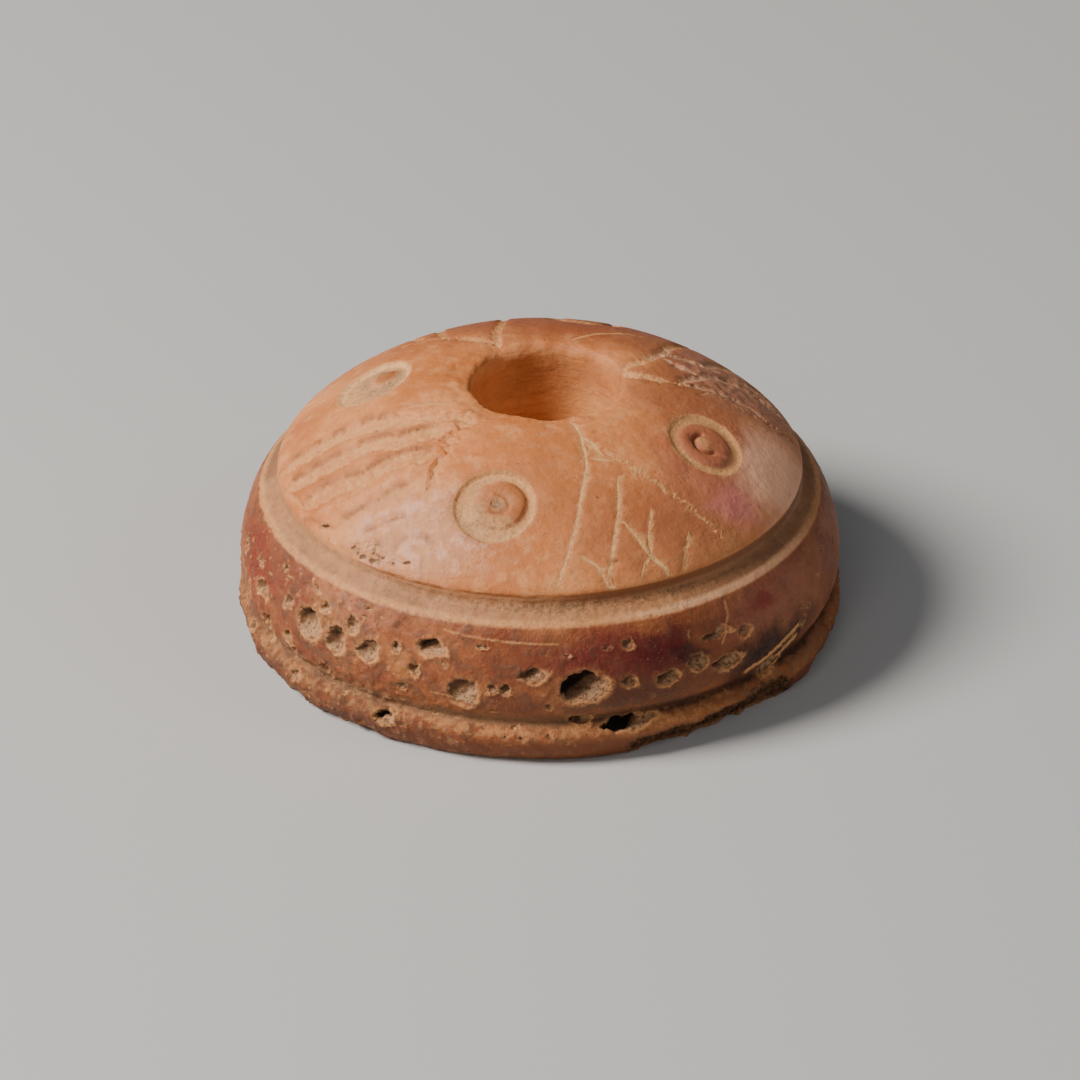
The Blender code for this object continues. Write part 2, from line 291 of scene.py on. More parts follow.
# incised strokes, as plan places on the dome
# x to the right and y away from the front, in shares of the whorl's radius
strokes = {
    "radius": 19.0,
    "step": 0.12,
    # in each panel, edge brown sets the painted shade along the upper edge of its cuts
    "panels": [
        {   # left front: wide, worn gouges full of pale soil
            "half width": 0.72, "depth": 0.24, "fill": 0.50, "edge shade": 1.0,
            "lines": [
                [(-.220, -.225), (-.326, -.216), (-.441, -.196), (-.510, -.176), (-.556, -.162),
                 (-.647, -.144), (-.762, -.139), (-.825, -.1215), (-.850, -.115)],
                [(-.220, -.225), (-.251, -.276), (-.286, -.345), (-.300, -.397), (-.332, -.460),
                 (-.343, -.500), (-.355, -.530)],
                [(-.297, -.294), (-.406, -.294), (-.475, -.297), (-.510, -.268), (-.561, -.259),
                 (-.642, -.262), (-.751, -.251), (-.830, -.225)],
                [(-.360, -.426), (-.383, -.391), (-.4235, -.374), (-.498, -.380), (-.590, -.397),
                 (-.647, -.374), (-.722, -.363), (-.775, -.352)],
            ],
            "ticked": [(-.240, -.262), (-.345, -.52)],
            "tick reach": 0.028, "tick spacing": 0.036, "tick lean": (55, 85),
        },
        {   # right front: narrow, crisp scratches
            "half width": 0.10, "depth": 0.05, "fill": 1.0, "edge shade": 0.0,
            "lines": [
                [(.100, -.267), (.134, -.359), (.148, -.451), (.151, -.497), (.139, -.566),
                 (.128, -.629), (.114, -.704), (.102, -.744), (.085, -.7955), (.053, -.862)],
                [(.134, -.359), (.168, -.388), (.185, -.417), (.215, -.443)],
                [(.30, -.474), (.323, -.480)], [(.375, -.503), (.415, -.523)], [(.500, -.553), (.540, -.569)],
                [(.157, -.454), (.237, -.454)],
                [(.253, -.5085), (.254, -.560), (.254, -.635), (.246, -.669), (.240, -.715),
                 (.231, -.773), (.222, -.807), (.239, -.84)],
                [(.362, -.583), (.355, -.6405), (.349, -.698), (.360, -.727), (.340, -.755),
                 (.326, -.7955)],
                [(.360, -.727), (.375, -.735), (.409, -.750), (.432, -.773)],
                [(.481, -.618), (.475, -.658), (.467, -.704), (.455, -.747)],
                [(.268, -.654), (.296, -.678), (.339, -.721), (.368, -.740), (.396, -.749), (.434, -.773)],
                [(.125, -.769), (.153, -.783), (.187, -.797), (.215, -.830), (.248, -.845)],
            ],
            "ticked": [(.190, -.415), (.600, -.597)],
            "tick reach": 0.018, "tick spacing": 0.011, "tick lean": (50, 130),
        },
        {   # right back: rough cuts that run close together towards the edge
            "half width": 0.40, "depth": 0.13, "fill": 0.78, "edge shade": 0.25,
            "lines": [
                [(.258, .072), (.310, .035), (.402, .020), (.455, .028), (.556, .063), (.628, .077),
                 (.700, .074), (.755, .050), (.862, .045)],
                [(.258, .080), (.331, .132), (.404, .240), (.422, .333), (.50, .52), (.555, .662)],
                [(.404, .240), (.469, .257), (.541, .261), (.615, .287), (.688, .307), (.742, .263),
                 (.80, .20)],
                [(.459, .034), (.492, .091), (.558, .181), (.631, .217), (.705, .236), (.759, .203),
                 (.813, .165), (.857, .115)],
                [(.413, .193), (.466, .161), (.512, .154)],
                [(.541, .261), (.62, .42), (.68, .53)],
                [(.688, .307), (.76, .40)],
            ],
            "ticked": [(.402, .023), (.862, .05)],
            "tick reach": 0.026, "tick spacing": 0.022, "tick lean": (35, 110),
        },
        {   # back, hardly seen in the photograph
            "half width": 0.40, "depth": 0.17, "fill": 0.66, "edge shade": 0.5,
            "lines": [
                [(-.128, .232), (-.145, .262), (-.148, .333), (-.131, .448), (-.115, .65), (-.105, .858)],
                [(-.145, .262), (-.194, .287), (-.240, .305), (-.2915, .339), (-.36, .375), (-.55, .45),
                 (-.70, .50)],
                [(-.32, .36), (-.33, .45), (-.34, .79)],
                [(-.39, .42), (-.47, .72)],
                [(-.52, .47), (-.59, .61)],
            ],
            "ticked": [(-.24, .305), (-.66, .48)],
            "tick reach": 0.026, "tick spacing": 0.036, "tick lean": (55, 85),
        },
    ],
    # worn and faint cuts on the dome: half width, depth, fill, painted shade on the upper edge, line
    "faint": [
        (0.55, 0.13, 0.40, 1.0, [(-.372, -.460), (-.40, -.50), (-.50, -.515), (-.544, -.520), (-.68, -.53)]),
        (0.45, 0.10, 0.32, 1.0, [(-.44, -.60), (-.475, -.604), (-.62, -.60)]),
        (0.50, 0.10, 0.36, 0.9, [(-.52, -.66), (-.60, -.575), (-.70, -.50), (-.78, -.42)]),
        (0.35, 0.08, 0.30, 0.9, [(-.36, -.70), (-.42, -.67), (-.47, -.69)]),
        (0.34, 0.05, 0.55, 0.2, [(.148, -.375), (.160, -.405), (.166, -.430)]),
        (0.22, 0.06, 0.50, 0.4, [(-.30, -.150), (-.38, -.143), (-.44, -.135)]),
        (0.30, 0.08, 0.45, 0.6, [(-.775, -.352), (-.80, -.30), (-.835, -.225)]),
        (0.12, 0.05, 0.70, 0.2, [(.10, .275), (.18, .33), (.30, .39), (.36, .385)]),
        (0.12, 0.04, 0.60, 0.3, [(-.265, -.195), (-.272, -.168)]),
        (0.12, 0.04, 0.60, 0.3, [(-.305, -.190), (-.312, -.162)]),
        (0.12, 0.04, 0.60, 0.3, [(-.350, -.185), (-.358, -.160)]),
        (0.12, 0.04, 0.60, 0.3, [(-.395, -.178), (-.402, -.152)]),
    ],
    # faint scratches on the side, as (azimuth, height): half width, depth, fill, line
    "scratches": [
        (0.16, 0.05, 0.8, [(312, 3.7), (318, 4.0), (324, 4.5), (330, 4.9)]),
        (0.20, 0.05, 0.8, [(316, 3.3), (322, 3.6), (328, 4.2)]),
        (0.12, 0.03, 0.6, [(309.5, 8.9), (309.0, 7.9), (307.8, 6.9), (306.5, 6.3)]),
        (0.10, 0.03, 0.6, [(300.5, 8.0), (299.5, 7.6), (300.0, 7.1)]),
        (0.12, 0.03, 0.5, [(20, 7.9), (32, 7.2), (41, 7.0)]),
        (0.10, 0.03, 0.5, [(95, 5.9), (104, 6.3), (118, 6.2)]),
        (0.12, 0.03, 0.5, [(250, 8.6), (262, 8.3), (274, 8.2)]),
        (0.08, 0.02, 0.5, [(240, 5.4), (249, 4.6), (259, 4.3)]),
    ],
}


def strokeGuide():
    dice = random.Random(11)
    places, edges, halves, depths, fills, edgeShades = [], [], [], [], [], []

    def lay(line, half, depth, fill, brown=0.0, ground=onDome):
        # walks along a line, laying points on the bone; the ends run out thin
        corners = [Vector(corner) * (strokes["radius"] if ground is onDome else 1) for corner in line]
        walked = []
        for start, end in zip(corners, corners[1:]):
            steps = max(1, round((end - start).length / strokes["step"]))
            walked += [start.lerp(end, step / steps) for step in range(steps)]
        walked.append(corners[-1])
        for index, spot in enumerate(walked):
            toEnd = min(index, len(walked) - 1 - index) * strokes["step"]
            taper = min(1.0, 0.35 + toEnd / 0.9)
            if index:
                edges.append((len(places) - 1, len(places)))
            places.append(ground(spot.x, spot.y)[0])
            halves.append(half * taper * dice.uniform(0.85, 1.15) * unit)
            depths.append(depth * taper * unit)
            fills.append(fill)
            edgeShades.append(brown)

    for panel in strokes["panels"]:
        for line in panel["lines"]:
            lay(line, panel["half width"], panel["depth"], panel["fill"], panel["edge shade"])
        start, end = [Vector(corner) for corner in panel["ticked"]]
        along = (end - start).normalized()
        aside = Vector((-along.y, along.x)) * panel["tick reach"]
        count = int((end - start).length / panel["tick spacing"])
        for number in range(1, count):
            middle = start.lerp(end, (number + dice.uniform(-0.25, 0.25)) / count)
            middle = middle + aside * dice.uniform(-0.5, 0.5)
            lean = math.radians(dice.uniform(*panel["tick lean"]))
            across = Matrix.Rotation(lean, 2) @ along * panel["tick reach"] * dice.uniform(0.4, 1.1)
            lay([middle - across * 0.7, middle + across], 0.10, panel["depth"] * 0.8, panel["fill"] * 0.9)
    for half, depth, fill, brown, line in strokes["faint"]:
        lay(line, half, depth, fill, brown)
    for half, depth, fill, line in strokes["scratches"]:
        lay(line, half, depth, fill, ground=onSide)
    columns = {"halfWidth": halves, "cutDepth": depths, "fill": fills, "edgeBrown": edgeShades}
    return guideObject("strokeGuide", places, edges, **columns)


# ring-and-dot marks
rings = {
    "outer": 2.62,
    "marks": [
        # "disc shift" is to the right and up the slope; "soft" is the width of the outer wall
        {
            "plan": (-.1457, -.6263), "disc shift": (0.22, 0.10), "disc": 1.55, "eye": 0.62,
            "eye open": (-0.9, 0.2), "pit": 0.46, "pit fill": 0.85, "depth": 0.26, "soft": 0.26,
            "fill": 0.68, "brown": 0.25, "wall": 0.9, "grey": 0.45, "cover": 0.80, "edge": 0.86,
            "lump": 0.0, "eye depth": 0.15,
        },
        {
            "plan": (.5415, -.2583), "disc shift": (-0.05, -0.10), "disc": 1.62, "eye": 0.76,
            "eye open": (0.8, 0.7), "pit": 0.46, "pit fill": 0.0, "depth": 0.16, "soft": 0.36,
            "fill": 0.68, "brown": 0.25, "wall": 0.1, "grey": 0.20, "cover": 0.0, "edge": 0.78,
            "lump": 0.85, "eye depth": 0.22,
        },
        {
            "plan": (.1553, .5796), "disc shift": (0.05, 0.10), "disc": 1.50, "eye": 0.60,
            "eye open": (0.3, -0.3), "pit": 0.30, "pit fill": 0.3, "depth": 0.20, "soft": 0.30,
            "fill": 0.70, "brown": 0.20, "wall": 0.5, "grey": 0.40, "cover": 0.4, "edge": 0.70,
            "lump": 0.3, "eye depth": 0.20,
        },
        {
            "plan": (-.5511, .1201), "disc shift": (0.80, 0.30), "disc": 0.66, "eye": 0.62,
            "eye open": (-0.5, 0.2), "pit": 0.00, "pit fill": 0.0, "depth": 0.24, "soft": 0.36,
            "fill": 0.80, "brown": 0.95, "wall": 0.5, "grey": 1.0, "cover": 0.0, "edge": 0.95,
            "lump": 0.0, "eye depth": 0.10,
        },
    ],
}


def ringGuide():
    places, normals, discs, gaps, lows = [], [], [], [], []
    for mark in rings["marks"]:
        spot = Vector(mark["plan"]) * strokes["radius"]
        place, outward = onDome(spot.x, spot.y)
        uphill = (Vector((0, 1, 0)) - outward * outward.y).normalized()
        right = uphill.cross(outward)
        shift = right * mark["disc shift"][0] + uphill * mark["disc shift"][1]
        places.append(place)
        normals.append(outward)
        discs.append((place + shift) * unit)
        gaps.append(right * mark["eye open"][0] + uphill * mark["eye open"][1])
        lows.append(right * -0.6 - uphill * 0.8)
    columns = {"facing": normals, "disc": discs, "eyeOpen": gaps, "lowSide": lows}
    sizes = {"discSize": "disc", "ringDepth": "depth", "eyeDepth": "eye depth"}
    sizes.update({name: name for name in ("eye", "pit", "soft")})
    for name, setting in sizes.items():
        columns[name] = [mark[setting] * unit for mark in rings["marks"]]
    for name in ("fill", "pit fill", "brown", "wall", "grey", "cover", "edge", "lump"):
        columns[name] = [mark[name] for mark in rings["marks"]]
    return guideObject("ringGuide", places, [], **columns)


# pores opened by wear, pits and bites
losses = {
    # side pores: azimuth, height, half length, half height, depth
    "pores": [
        (278.2, 5.42, 1.48, 1.08, 1.15), (287.2, 2.52, 1.88, 0.52, 1.00),
        (277.8, 2.96, 0.80, 0.53, 0.90), (287.0, 7.99, 0.44, 0.39, 0.25),
        (286.8, 5.49, 0.62, 0.47, 0.40), (294.5, 5.26, 0.82, 0.61, 0.60),
        (301.0, 5.78, 0.70, 0.65, 0.60), (307.5, 5.11, 1.23, 0.54, 0.60),
        (306.0, 7.20, 1.13, 0.29, 0.40), (319.0, 3.26, 1.01, 0.54, 0.60),
        (312.2, 6.59, 0.61, 0.42, 0.25), (299.2, 9.16, 0.14, 0.12, 0.30),
        (275.3, 7.52, 0.20, 0.18, 0.20), (283.2, 7.78, 0.32, 0.17, 0.12),
        (265.2, 2.66, 0.40, 0.12, 0.25), (268.8, 6.32, 0.85, 0.50, 0.50),
        (263.8, 5.33, 0.37, 0.34, 0.55), (261.2, 5.26, 0.37, 0.40, 0.30),
        (255.5, 4.91, 0.95, 1.01, 0.55), (248.8, 7.41, 1.00, 0.70, 0.70),
        (246.0, 5.84, 0.41, 0.39, 0.30), (243.2, 4.48, 0.29, 0.31, 0.25),
        (239.8, 1.97, 0.75, 0.52, 0.90), (234.0, 8.72, 0.54, 0.10, 0.25),
        (220.5, 6.20, 1.06, 1.09, 0.75), (228.0, 6.09, 0.82, 0.93, 0.60),
        (231.8, 7.41, 0.60, 0.57, 0.45), (235.8, 6.20, 0.82, 0.75, 0.55),
        (205.8, 3.74, 0.50, 0.94, 0.70), (209.8, 8.34, 0.39, 0.19, 0.35),
        (211.3, 8.08, 0.47, 0.19, 0.20), (203.2, 5.90, 0.86, 0.56, 0.40),
        (200.2, 7.21, 0.56, 0.28, 0.25), (220.3, 8.48, 0.35, 0.20, 0.20),
        (230.0, 2.48, 0.25, 0.09, 0.25), (232.5, 2.64, 0.32, 0.11, 0.25),
        (250.0, 3.01, 0.16, 0.21, 0.25), (196.0, 4.6, 0.5, 0.6, 0.35), (190.5, 6.8, 0.45, 0.5, 0.3),
        (214.0, 4.3, 0.55, 0.5, 0.4), (225.0, 3.6, 0.35, 0.3, 0.3), (213.5, 6.6, 0.5, 0.55, 0.4),
        (241.5, 7.0, 0.4, 0.35, 0.3), (224.0, 7.7, 0.45, 0.35, 0.3), (217.0, 2.1, 0.6, 0.35, 0.45),
        (198.0, 2.2, 0.5, 0.45, 0.45), (259.0, 7.9, 0.3, 0.2, 0.2), (271.5, 4.1, 0.3, 0.28, 0.3),
    ],
    # dome pits: azimuth, plan radius, half size, depth
    "pits": [
        (224.8, 16.30, 0.36, 0.18), (226.5, 16.30, 0.30, 0.18), (226.0, 16.00, 0.26, 0.16),
        (230.8, 16.05, 0.28, 0.22), (229.0, 16.35, 0.38, 0.16), (231.5, 16.35, 0.40, 0.16),
        (233.3, 16.20, 0.34, 0.16), (236.5, 16.30, 0.26, 0.14), (239.5, 16.00, 0.30, 0.22),
        (214.8, 16.10, 0.34, 0.45), (178.8, 16.40, 0.16, 0.30), (309.8, 11.1, 0.20, 0.15),
        (288.2, 11.8, 0.18, 0.12), (287.2, 15.4, 0.20, 0.12), (22.1, 9.0, 0.20, 0.25),
        (296.5, 15.2, 0.16, 0.10),
    ],
    "hidden pores": 46,  # strewn round the back, where the photograph doesn't reach
    "small pores": 80,  # strewn over the porous left of the body and the flange
    # bites out of the flange's lower edge and the hole's rim
    # azimuth, radius, height, half length, half depth, half height
    "bites": [
        (286.5, 19.2, -0.35, 2.6, 1.1, 1.15), (295.5, 19.3, -0.30, 4.4, 1.7, 2.10),
        (307.0, 19.4, -0.35, 4.4, 2.0, 2.30), (317.0, 19.4, -0.30, 3.6, 1.9, 2.70),
        (227.0, 4.5, 17.0, 1.0, 0.62, 0.62), (40.0, 4.4, 17.0, 1.3, 0.55, 0.55),
        (196.0, 19.5, -0.2, 1.6, 0.8, 0.9), (149.0, 19.6, -0.3, 2.2, 1.0, 1.1),
    ],
}


def poreGuide():
    dice = random.Random(29)
    places, alongs, halves, crosses, depths, shadeSides, rims, blacks = [], [], [], [], [], [], [], []

    def sink(place, outward, half, cross, depth, lean=0.0, rim=1.0):
        level = Vector((-place.y, place.x, 0)).normalized()
        rise = outward.cross(level)
        turn = math.radians(lean)
        places.append(place)
        alongs.append(level * math.cos(turn) + rise * math.sin(turn))
        # the side of each pore that takes painted shade: up and against the turn, which is up and to the left
        # at the front
        shadeSides.append((rise * 0.8 - level * 0.6).normalized())
        halves.append(half * unit)
        crosses.append(cross * unit)
        deepSet = depth > 0.85
        depths.append(depth * (1 if deepSet else 0.75) * unit)
        # black sets how strong the painted shadow over a pore's upper part is, strongest in the deepest pores
        blacks.append(1.1 if deepSet else dice.uniform(0.74, 0.88))
        rims.append(rim)

    for azimuth, height, half, cross, depth in losses["pores"]:
        sink(*onSide(azimuth, height), half, cross, depth)
    for azimuth, radius, half, depth in losses["pits"]:
        sink(*onLine(domeLine, azimuth, min(radius, 16.35), 0), half, half * 0.75, depth, rim=0.0)
    for number in range(losses["hidden pores"]):
        azimuth, height = dice.uniform(-35, 175), dice.choice((1.4, 2.4, 4.0, 5.2, 6.4, 7.4))
        half = dice.uniform(0.15, 0.75) * dice.uniform(0.5, 1)
        place, outward = onSide(azimuth, height + dice.uniform(-0.6, 0.6))
        cross, depth = half * dice.uniform(0.4, 0.9), half * dice.uniform(0.5, 0.9)
        sink(place, outward, half, cross, depth, dice.uniform(-25, 25), 0.7)
    for number in range(losses["small pores"]):
        azimuth = dice.triangular(180, 300, 215)
        height = dice.uniform(0.9, 8.6) if number % 2 else dice.uniform(0.8, 3.6)
        half = dice.uniform(0.10, 0.28)
        place, outward = onSide(azimuth, height)
        cross, depth = half * dice.uniform(0.5, 0.9), half * dice.uniform(0.5, 1.0)
        sink(place, outward, half, cross, depth, dice.uniform(-40, 40), 0.5)
    columns = {"along": alongs, "sill": shadeSides, "half": halves, "cross": crosses, "deep": depths, "rim": rims}
    return guideObject("poreGuide", places, [], black=blacks, **columns)


def biteGuide():
    places, sizes = [], []
    for azimuth, radius, height, length, depth, tall in losses["bites"]:
        places.append(spun(azimuth, Vector((radius, height))))
        sizes.append(Vector((depth, length, tall)) * unit)
    turns = [math.radians(bite[0]) for bite in losses["bites"]]
    return guideObject("biteGuide", places, [], size=sizes, turn=turns)


# relief of the worn bone, in units
wear = {
    # how far places are shaken, broadly and finely, to make edges ragged
    "ragged pores": (1.0, 0.34),
    "ragged strokes": (0.12, 0.06),
    "ragged rings": (0.20, 0.08),
    "ragged bites": 1.1,
    # height of the roughness on the side, the flange, the hole's edge, the groove and the pores
    "gritty": 0.55,
    "lumpy": 0.80,
    "uneven rim": 0.7,
    "groove crumbs": 0.22,
    "pore crumbs": 0.62,
    "grains": 0.10,
    "lips": 0.08,
    # rough ground between the cuts of the right back panel
    "scored place": (11.5, 3.2, 13.3),
    "scored reach": (6.0, 2.6, 4.0),
    "scored share": 0.7,
}


# the tree that turns and cuts the bone
def newSocket(tree, name, kind, value=None):
    socket = tree.interface.new_socket(name=name, in_out="INPUT", socket_type=kind)
    if value is not None:
        socket.default_value = value
    return socket.identifier


def boneTree(material):
    tree = bpy.data.node_groups.new("turnedBone", "GeometryNodeTree")
    bench = Bench(tree)
    maths, times, plus, less, most = bench.maths, bench.times, bench.plus, bench.less, bench.most
    vectors, added, gap, dot, length = bench.vectors, bench.added, bench.gap, bench.dot, bench.length
    ramp, band, towards, noise, wave = bench.ramp, bench.band, bench.towards, bench.noise, bench.wave
    jitter, scaled, split, join = bench.jitter, bench.scaled, bench.split, bench.join
    names = {}
    tree.interface.new_socket(name="Geometry", in_out="OUTPUT", socket_type="NodeSocketGeometry")
    newSocket(tree, "Geometry", "NodeSocketGeometry")
    for guide in ("Profile", "Strokes", "Rings", "Pores", "Bites"):
        names[guide] = newSocket(tree, guide, "NodeSocketObject")
    names["Rounds"] = newSocket(tree, "Rounds", "NodeSocketInt", 64)
    for size in ("Bore shift", "Wobble", "Ring radius"):
        names[size] = newSocket(tree, size, "NodeSocketFloat", 0.0)
    given = bench.add("NodeGroupInput").outputs

    def guideGeometry(name):
        return bench.add("GeometryNodeObjectInfo", {"Object": given[name]}).outputs["Geometry"]

    def column(name, kind="FLOAT"):
        return bench.add("GeometryNodeInputNamedAttribute", {"Name": name}, data_type=kind).outputs[0]

    def keep(geometry, name, value, kind="FLOAT", where=True):
        inputs = {"Geometry": geometry, "Name": name, "Value": value, "Selection": where}
        return bench.add("GeometryNodeStoreNamedAttribute", inputs, data_type=kind, domain="POINT").outputs[0]

    def sampled(geometry, value, index, kind="FLOAT_VECTOR"):
        inputs = {"Geometry": geometry, "Value": value, "Index": index}
        return bench.add("GeometryNodeSampleIndex", inputs, data_type=kind, domain="POINT").outputs[0]

    def picked(geometry, name, index, kind="FLOAT"):
        return sampled(geometry, column(name, kind), index, kind)

    def moved(geometry, place, where=True):
        inputs = {"Geometry": geometry, "Selection": where, "Position": place}
        return bench.add("GeometryNodeSetPosition", inputs).outputs[0]

    def forEach(points, bone, change):
        # changes the bone once for every point
        size = bench.add("GeometryNodeAttributeDomainSize", {0: points}, component="MESH")
        start = tree.nodes.new("GeometryNodeRepeatInput")
        close = tree.nodes.new("GeometryNodeRepeatOutput")
        start.pair_with_output(close)
        bench.feed(start.inputs["Iterations"], size.outputs["Point Count"])
        bench.feed(start.inputs["Geometry"], bone)
        changed = change(start.outputs["Geometry"], start.outputs["Iteration"])
        bench.feed(close.inputs["Geometry"], changed)
        return close.outputs["Geometry"]

    # sweep the section once round the lathe axis
    outline = bench.add("GeometryNodeMeshToCurve", {0: guideGeometry("Profile")}).outputs[0]
    inputs = {"Resolution": given["Rounds"], "Radius": 1.0}
    circle = bench.add("GeometryNodeCurvePrimitiveCircle", inputs).outputs[0]
    share = bench.add("GeometryNodeSplineParameter").outputs["Factor"]
    circle = keep(circle, "around", times(share, math.tau))
    swept = bench.add("GeometryNodeCurveToMesh", {"Curve": circle, "Profile Curve": outline}).outputs[0]
    around = column("around")

    def turnedRound(vector):
        inputs = {"Vector": vector, "Angle": around}
        return bench.add("ShaderNodeVectorRotate", inputs, rotation_type="Z_AXIS").outputs[0]

    section = column("section", "FLOAT_VECTOR")
    radius = split(section)[0]
    nearBore = ramp(radius, 5.2 * unit, 9.0 * unit, 1.0, 0.0)
    shifted = added(turnedRound(section), join(times(nearBore, given["Bore shift"]), 0.0, 0.0))
    bone = keep(swept, "outward", turnedRound(column("outward", "FLOAT_VECTOR")), "FLOAT_VECTOR")
    bone = moved(bone, shifted)
    outward = column("outward", "FLOAT_VECTOR")
    place = bench.add("GeometryNodeInputPosition").outputs[0]
    swell = times(wave(place, 0.11 / unit), times(given["Wobble"], 2.0))
    bone = moved(bone, added(place, scaled(outward, swell)))

    # places are shaken a little before they are measured, so that every edge comes out ragged
    broad = jitter(place, 0.9 / unit, 2.0)
    fine = jitter(place, 4.5 / unit, 2.0)

    def shakenBy(edge):
        broadly, finely = wear[edge]
        spot = added(place, scaled(broad, broadly * unit))
        return added(spot, scaled(fine, finely * unit))

    bone = keep(bone, "shaken", shakenBy("ragged pores"), "FLOAT_VECTOR")
    shaken = column("shaken", "FLOAT_VECTOR")
    grain = noise(place, 2.2 / unit, 3.0)
    marked = maths("GREATER_THAN", split(place)[2], 3.0 * unit)

    # strokes
    paths = guideGeometry("Strokes")
    drawn = shakenBy("ragged strokes")
    nearest = bench.add("GeometryNodeSampleNearest", {"Geometry": paths, "Sample Position": drawn}).outputs[0]
    away = bench.add("GeometryNodeProximity", {0: paths, "Sample Position": drawn}, target_element="EDGES")

    def path(name):
        return picked(paths, name, nearest)

    span = maths("DIVIDE", away.outputs["Distance"], path("halfWidth"))
    wide = ramp(path("halfWidth"), 0.30 * unit, 0.50 * unit)
    bowl = most(less(1.0, maths("POWER", span, plus(2.0, times(wide, 2.5)))), 0.0)
    strokeCut = times(times(bowl, path("cutDepth")), ramp(grain, 0.3, 0.7, 0.55, 1.25))
    flatFill = times(times(ramp(span, 1.15, 0.80), wide), ramp(grain, 0.30, 0.62, 0.75, 1.15))
    strokeFill = most(times(ramp(span, 1.9, 0.3), less(1.0, wide)), flatFill)
    strokeFill = times(strokeFill, path("fill"))
    for name in ("soil", "eye", "cut", "pore", "sill", "lip", "chip", "grain", "deposit"):
        bone = keep(bone, name, 0.0)

    # ring-and-dot marks
    marks = guideGeometry("Rings")
    ring = bench.add("GeometryNodeSampleNearest", {"Geometry": marks, "Sample Position": place}).outputs[0]

    def mark(name, kind="FLOAT"):
        return picked(marks, name, ring, kind)

    facing = mark("facing", "FLOAT_VECTOR")
    eased = shakenBy("ragged rings")

    def flatStep(centre):
        # the step from a centre in the plane that touches the dome at the mark
        across = gap(eased, centre)
        return gap(across, scaled(facing, dot(across, facing)))

    outFrom = length(flatStep(sampled(marks, place, ring)))
    eyeStep = flatStep(mark("disc", "FLOAT_VECTOR"))
    eyeFrom = length(eyeStep)
    eyeSide = vectors("NORMALIZE", eyeStep)
    toOpen = dot(eyeSide, mark("eyeOpen", "FLOAT_VECTOR"))
    rim = given["Ring radius"]
    inside = ramp(outFrom, rim, less(rim, mark("soft")))
    discSize = mark("discSize")
    offDisc = ramp(eyeFrom, less(discSize, 0.05 * unit), plus(discSize, 0.3 * unit))
    trough = times(inside, offDisc)
    eyeGap = maths("ABSOLUTE", less(eyeFrom, mark("eye")))
    eyeCut = times(ramp(eyeGap, 0.26 * unit, 0.0), ramp(toOpen, 0.7, 0.1))
    pit = mark("pit")
    eyeHole = ramp(eyeFrom, plus(pit, 0.10 * unit), less(pit, 0.16 * unit))
    ringCut = times(trough, mark("ringDepth"))
    ringCut = plus(ringCut, times(times(eyeCut, inside), mark("eyeDepth")))
    lump = times(ramp(eyeFrom, plus(pit, 0.20 * unit), less(pit, 0.02 * unit)), mark("lump"))
    ringCut = plus(ringCut, times(less(eyeHole, times(lump, 1.5)), 0.13 * unit))
    onDisc = times(ramp(eyeFrom, plus(discSize, 0.1 * unit), less(discSize, 0.2 * unit)), inside)
    browned = times(onDisc, mark("brown"))
    ringFill = times(trough, ramp(noise(place, 0.8 / unit, 3.0), 0.36, 0.60, 0.55, 1.0))
    ringFill = times(ringFill, mark("fill"))
    pitFill = times(eyeHole, mark("pit fill"))
    # grey dirt in the eye, in patches of the ring and over the lower left of the disc
    patches = ramp(noise(place, 1.2 / unit, 4.0, 0.65), 0.38, 0.54)
    lowSide = dot(eyeSide, mark("lowSide", "FLOAT_VECTOR"))
    cover = times(ramp(lowSide, -0.1, 0.7), ramp(eyeFrom, 0.6 * unit, 1.1 * unit))
    cover = times(times(cover, inside), mark("cover"))
    paleEdge = ramp(outFrom, plus(rim, 0.15 * unit), less(rim, 0.15 * unit))
    paleEdge = times(paleEdge, ramp(outFrom, less(rim, 0.75 * unit), less(rim, 0.45 * unit)))
    paleEdge = times(paleEdge, mark("edge"))
    deposit = most(times(times(trough, patches), mark("grey")), pitFill)
    deposit = times(deposit, less(1.0, paleEdge))
    ringFill = most(most(ringFill, cover), most(times(paleEdge, 0.92), lump))
    # painted shade: a dark line along the upper edge of each cut, where a shadow would lie
    strokeEdgeShade = band(span, 0.55, 0.95, 1.05, 1.45)
    fromPath = vectors("NORMALIZE", gap(drawn, away.outputs["Position"]))
    upSlope = dot(fromPath, (0.3, 0.95, 0.0))
    strokeEdgeShade = times(strokeEdgeShade, ramp(upSlope, -0.3, 0.5, 0.2, 1.0))
    strokeEdgeShade = times(strokeEdgeShade, path("edgeBrown"))
    blotches = noise(place, 1.1 / unit, 3.0)
    strokeEdgeShade = times(strokeEdgeShade, ramp(blotches, 0.40, 0.56, 0.15, 1.0))
    # painted shade in the ring's outer wall and round the disc's edge
    wallShade = ramp(outFrom, plus(rim, 0.12 * unit), less(rim, 0.08 * unit))
    wallShade = times(wallShade, ramp(trough, 1.0, 0.6))
    discEdgeShade = band(offDisc, 0.0, 0.4, 0.6, 1.0)
    wallShade = times(most(wallShade, times(discEdgeShade, inside)), ramp(blotches, 0.35, 0.60, 0.15, 0.75))
    bone = keep(bone, "soil", most(strokeFill, ringFill), where=marked)
    eyeBrown = most(browned, most(eyeCut, less(eyeHole, most(pitFill, lump))))
    eyeBrown = times(eyeBrown, less(1.0, lump))
    wallShade = times(wallShade, mark("wall"))
    ringBrownAndShade = most(times(inside, eyeBrown), times(wallShade, ramp(outFrom, plus(rim, 0.2 * unit), rim)))
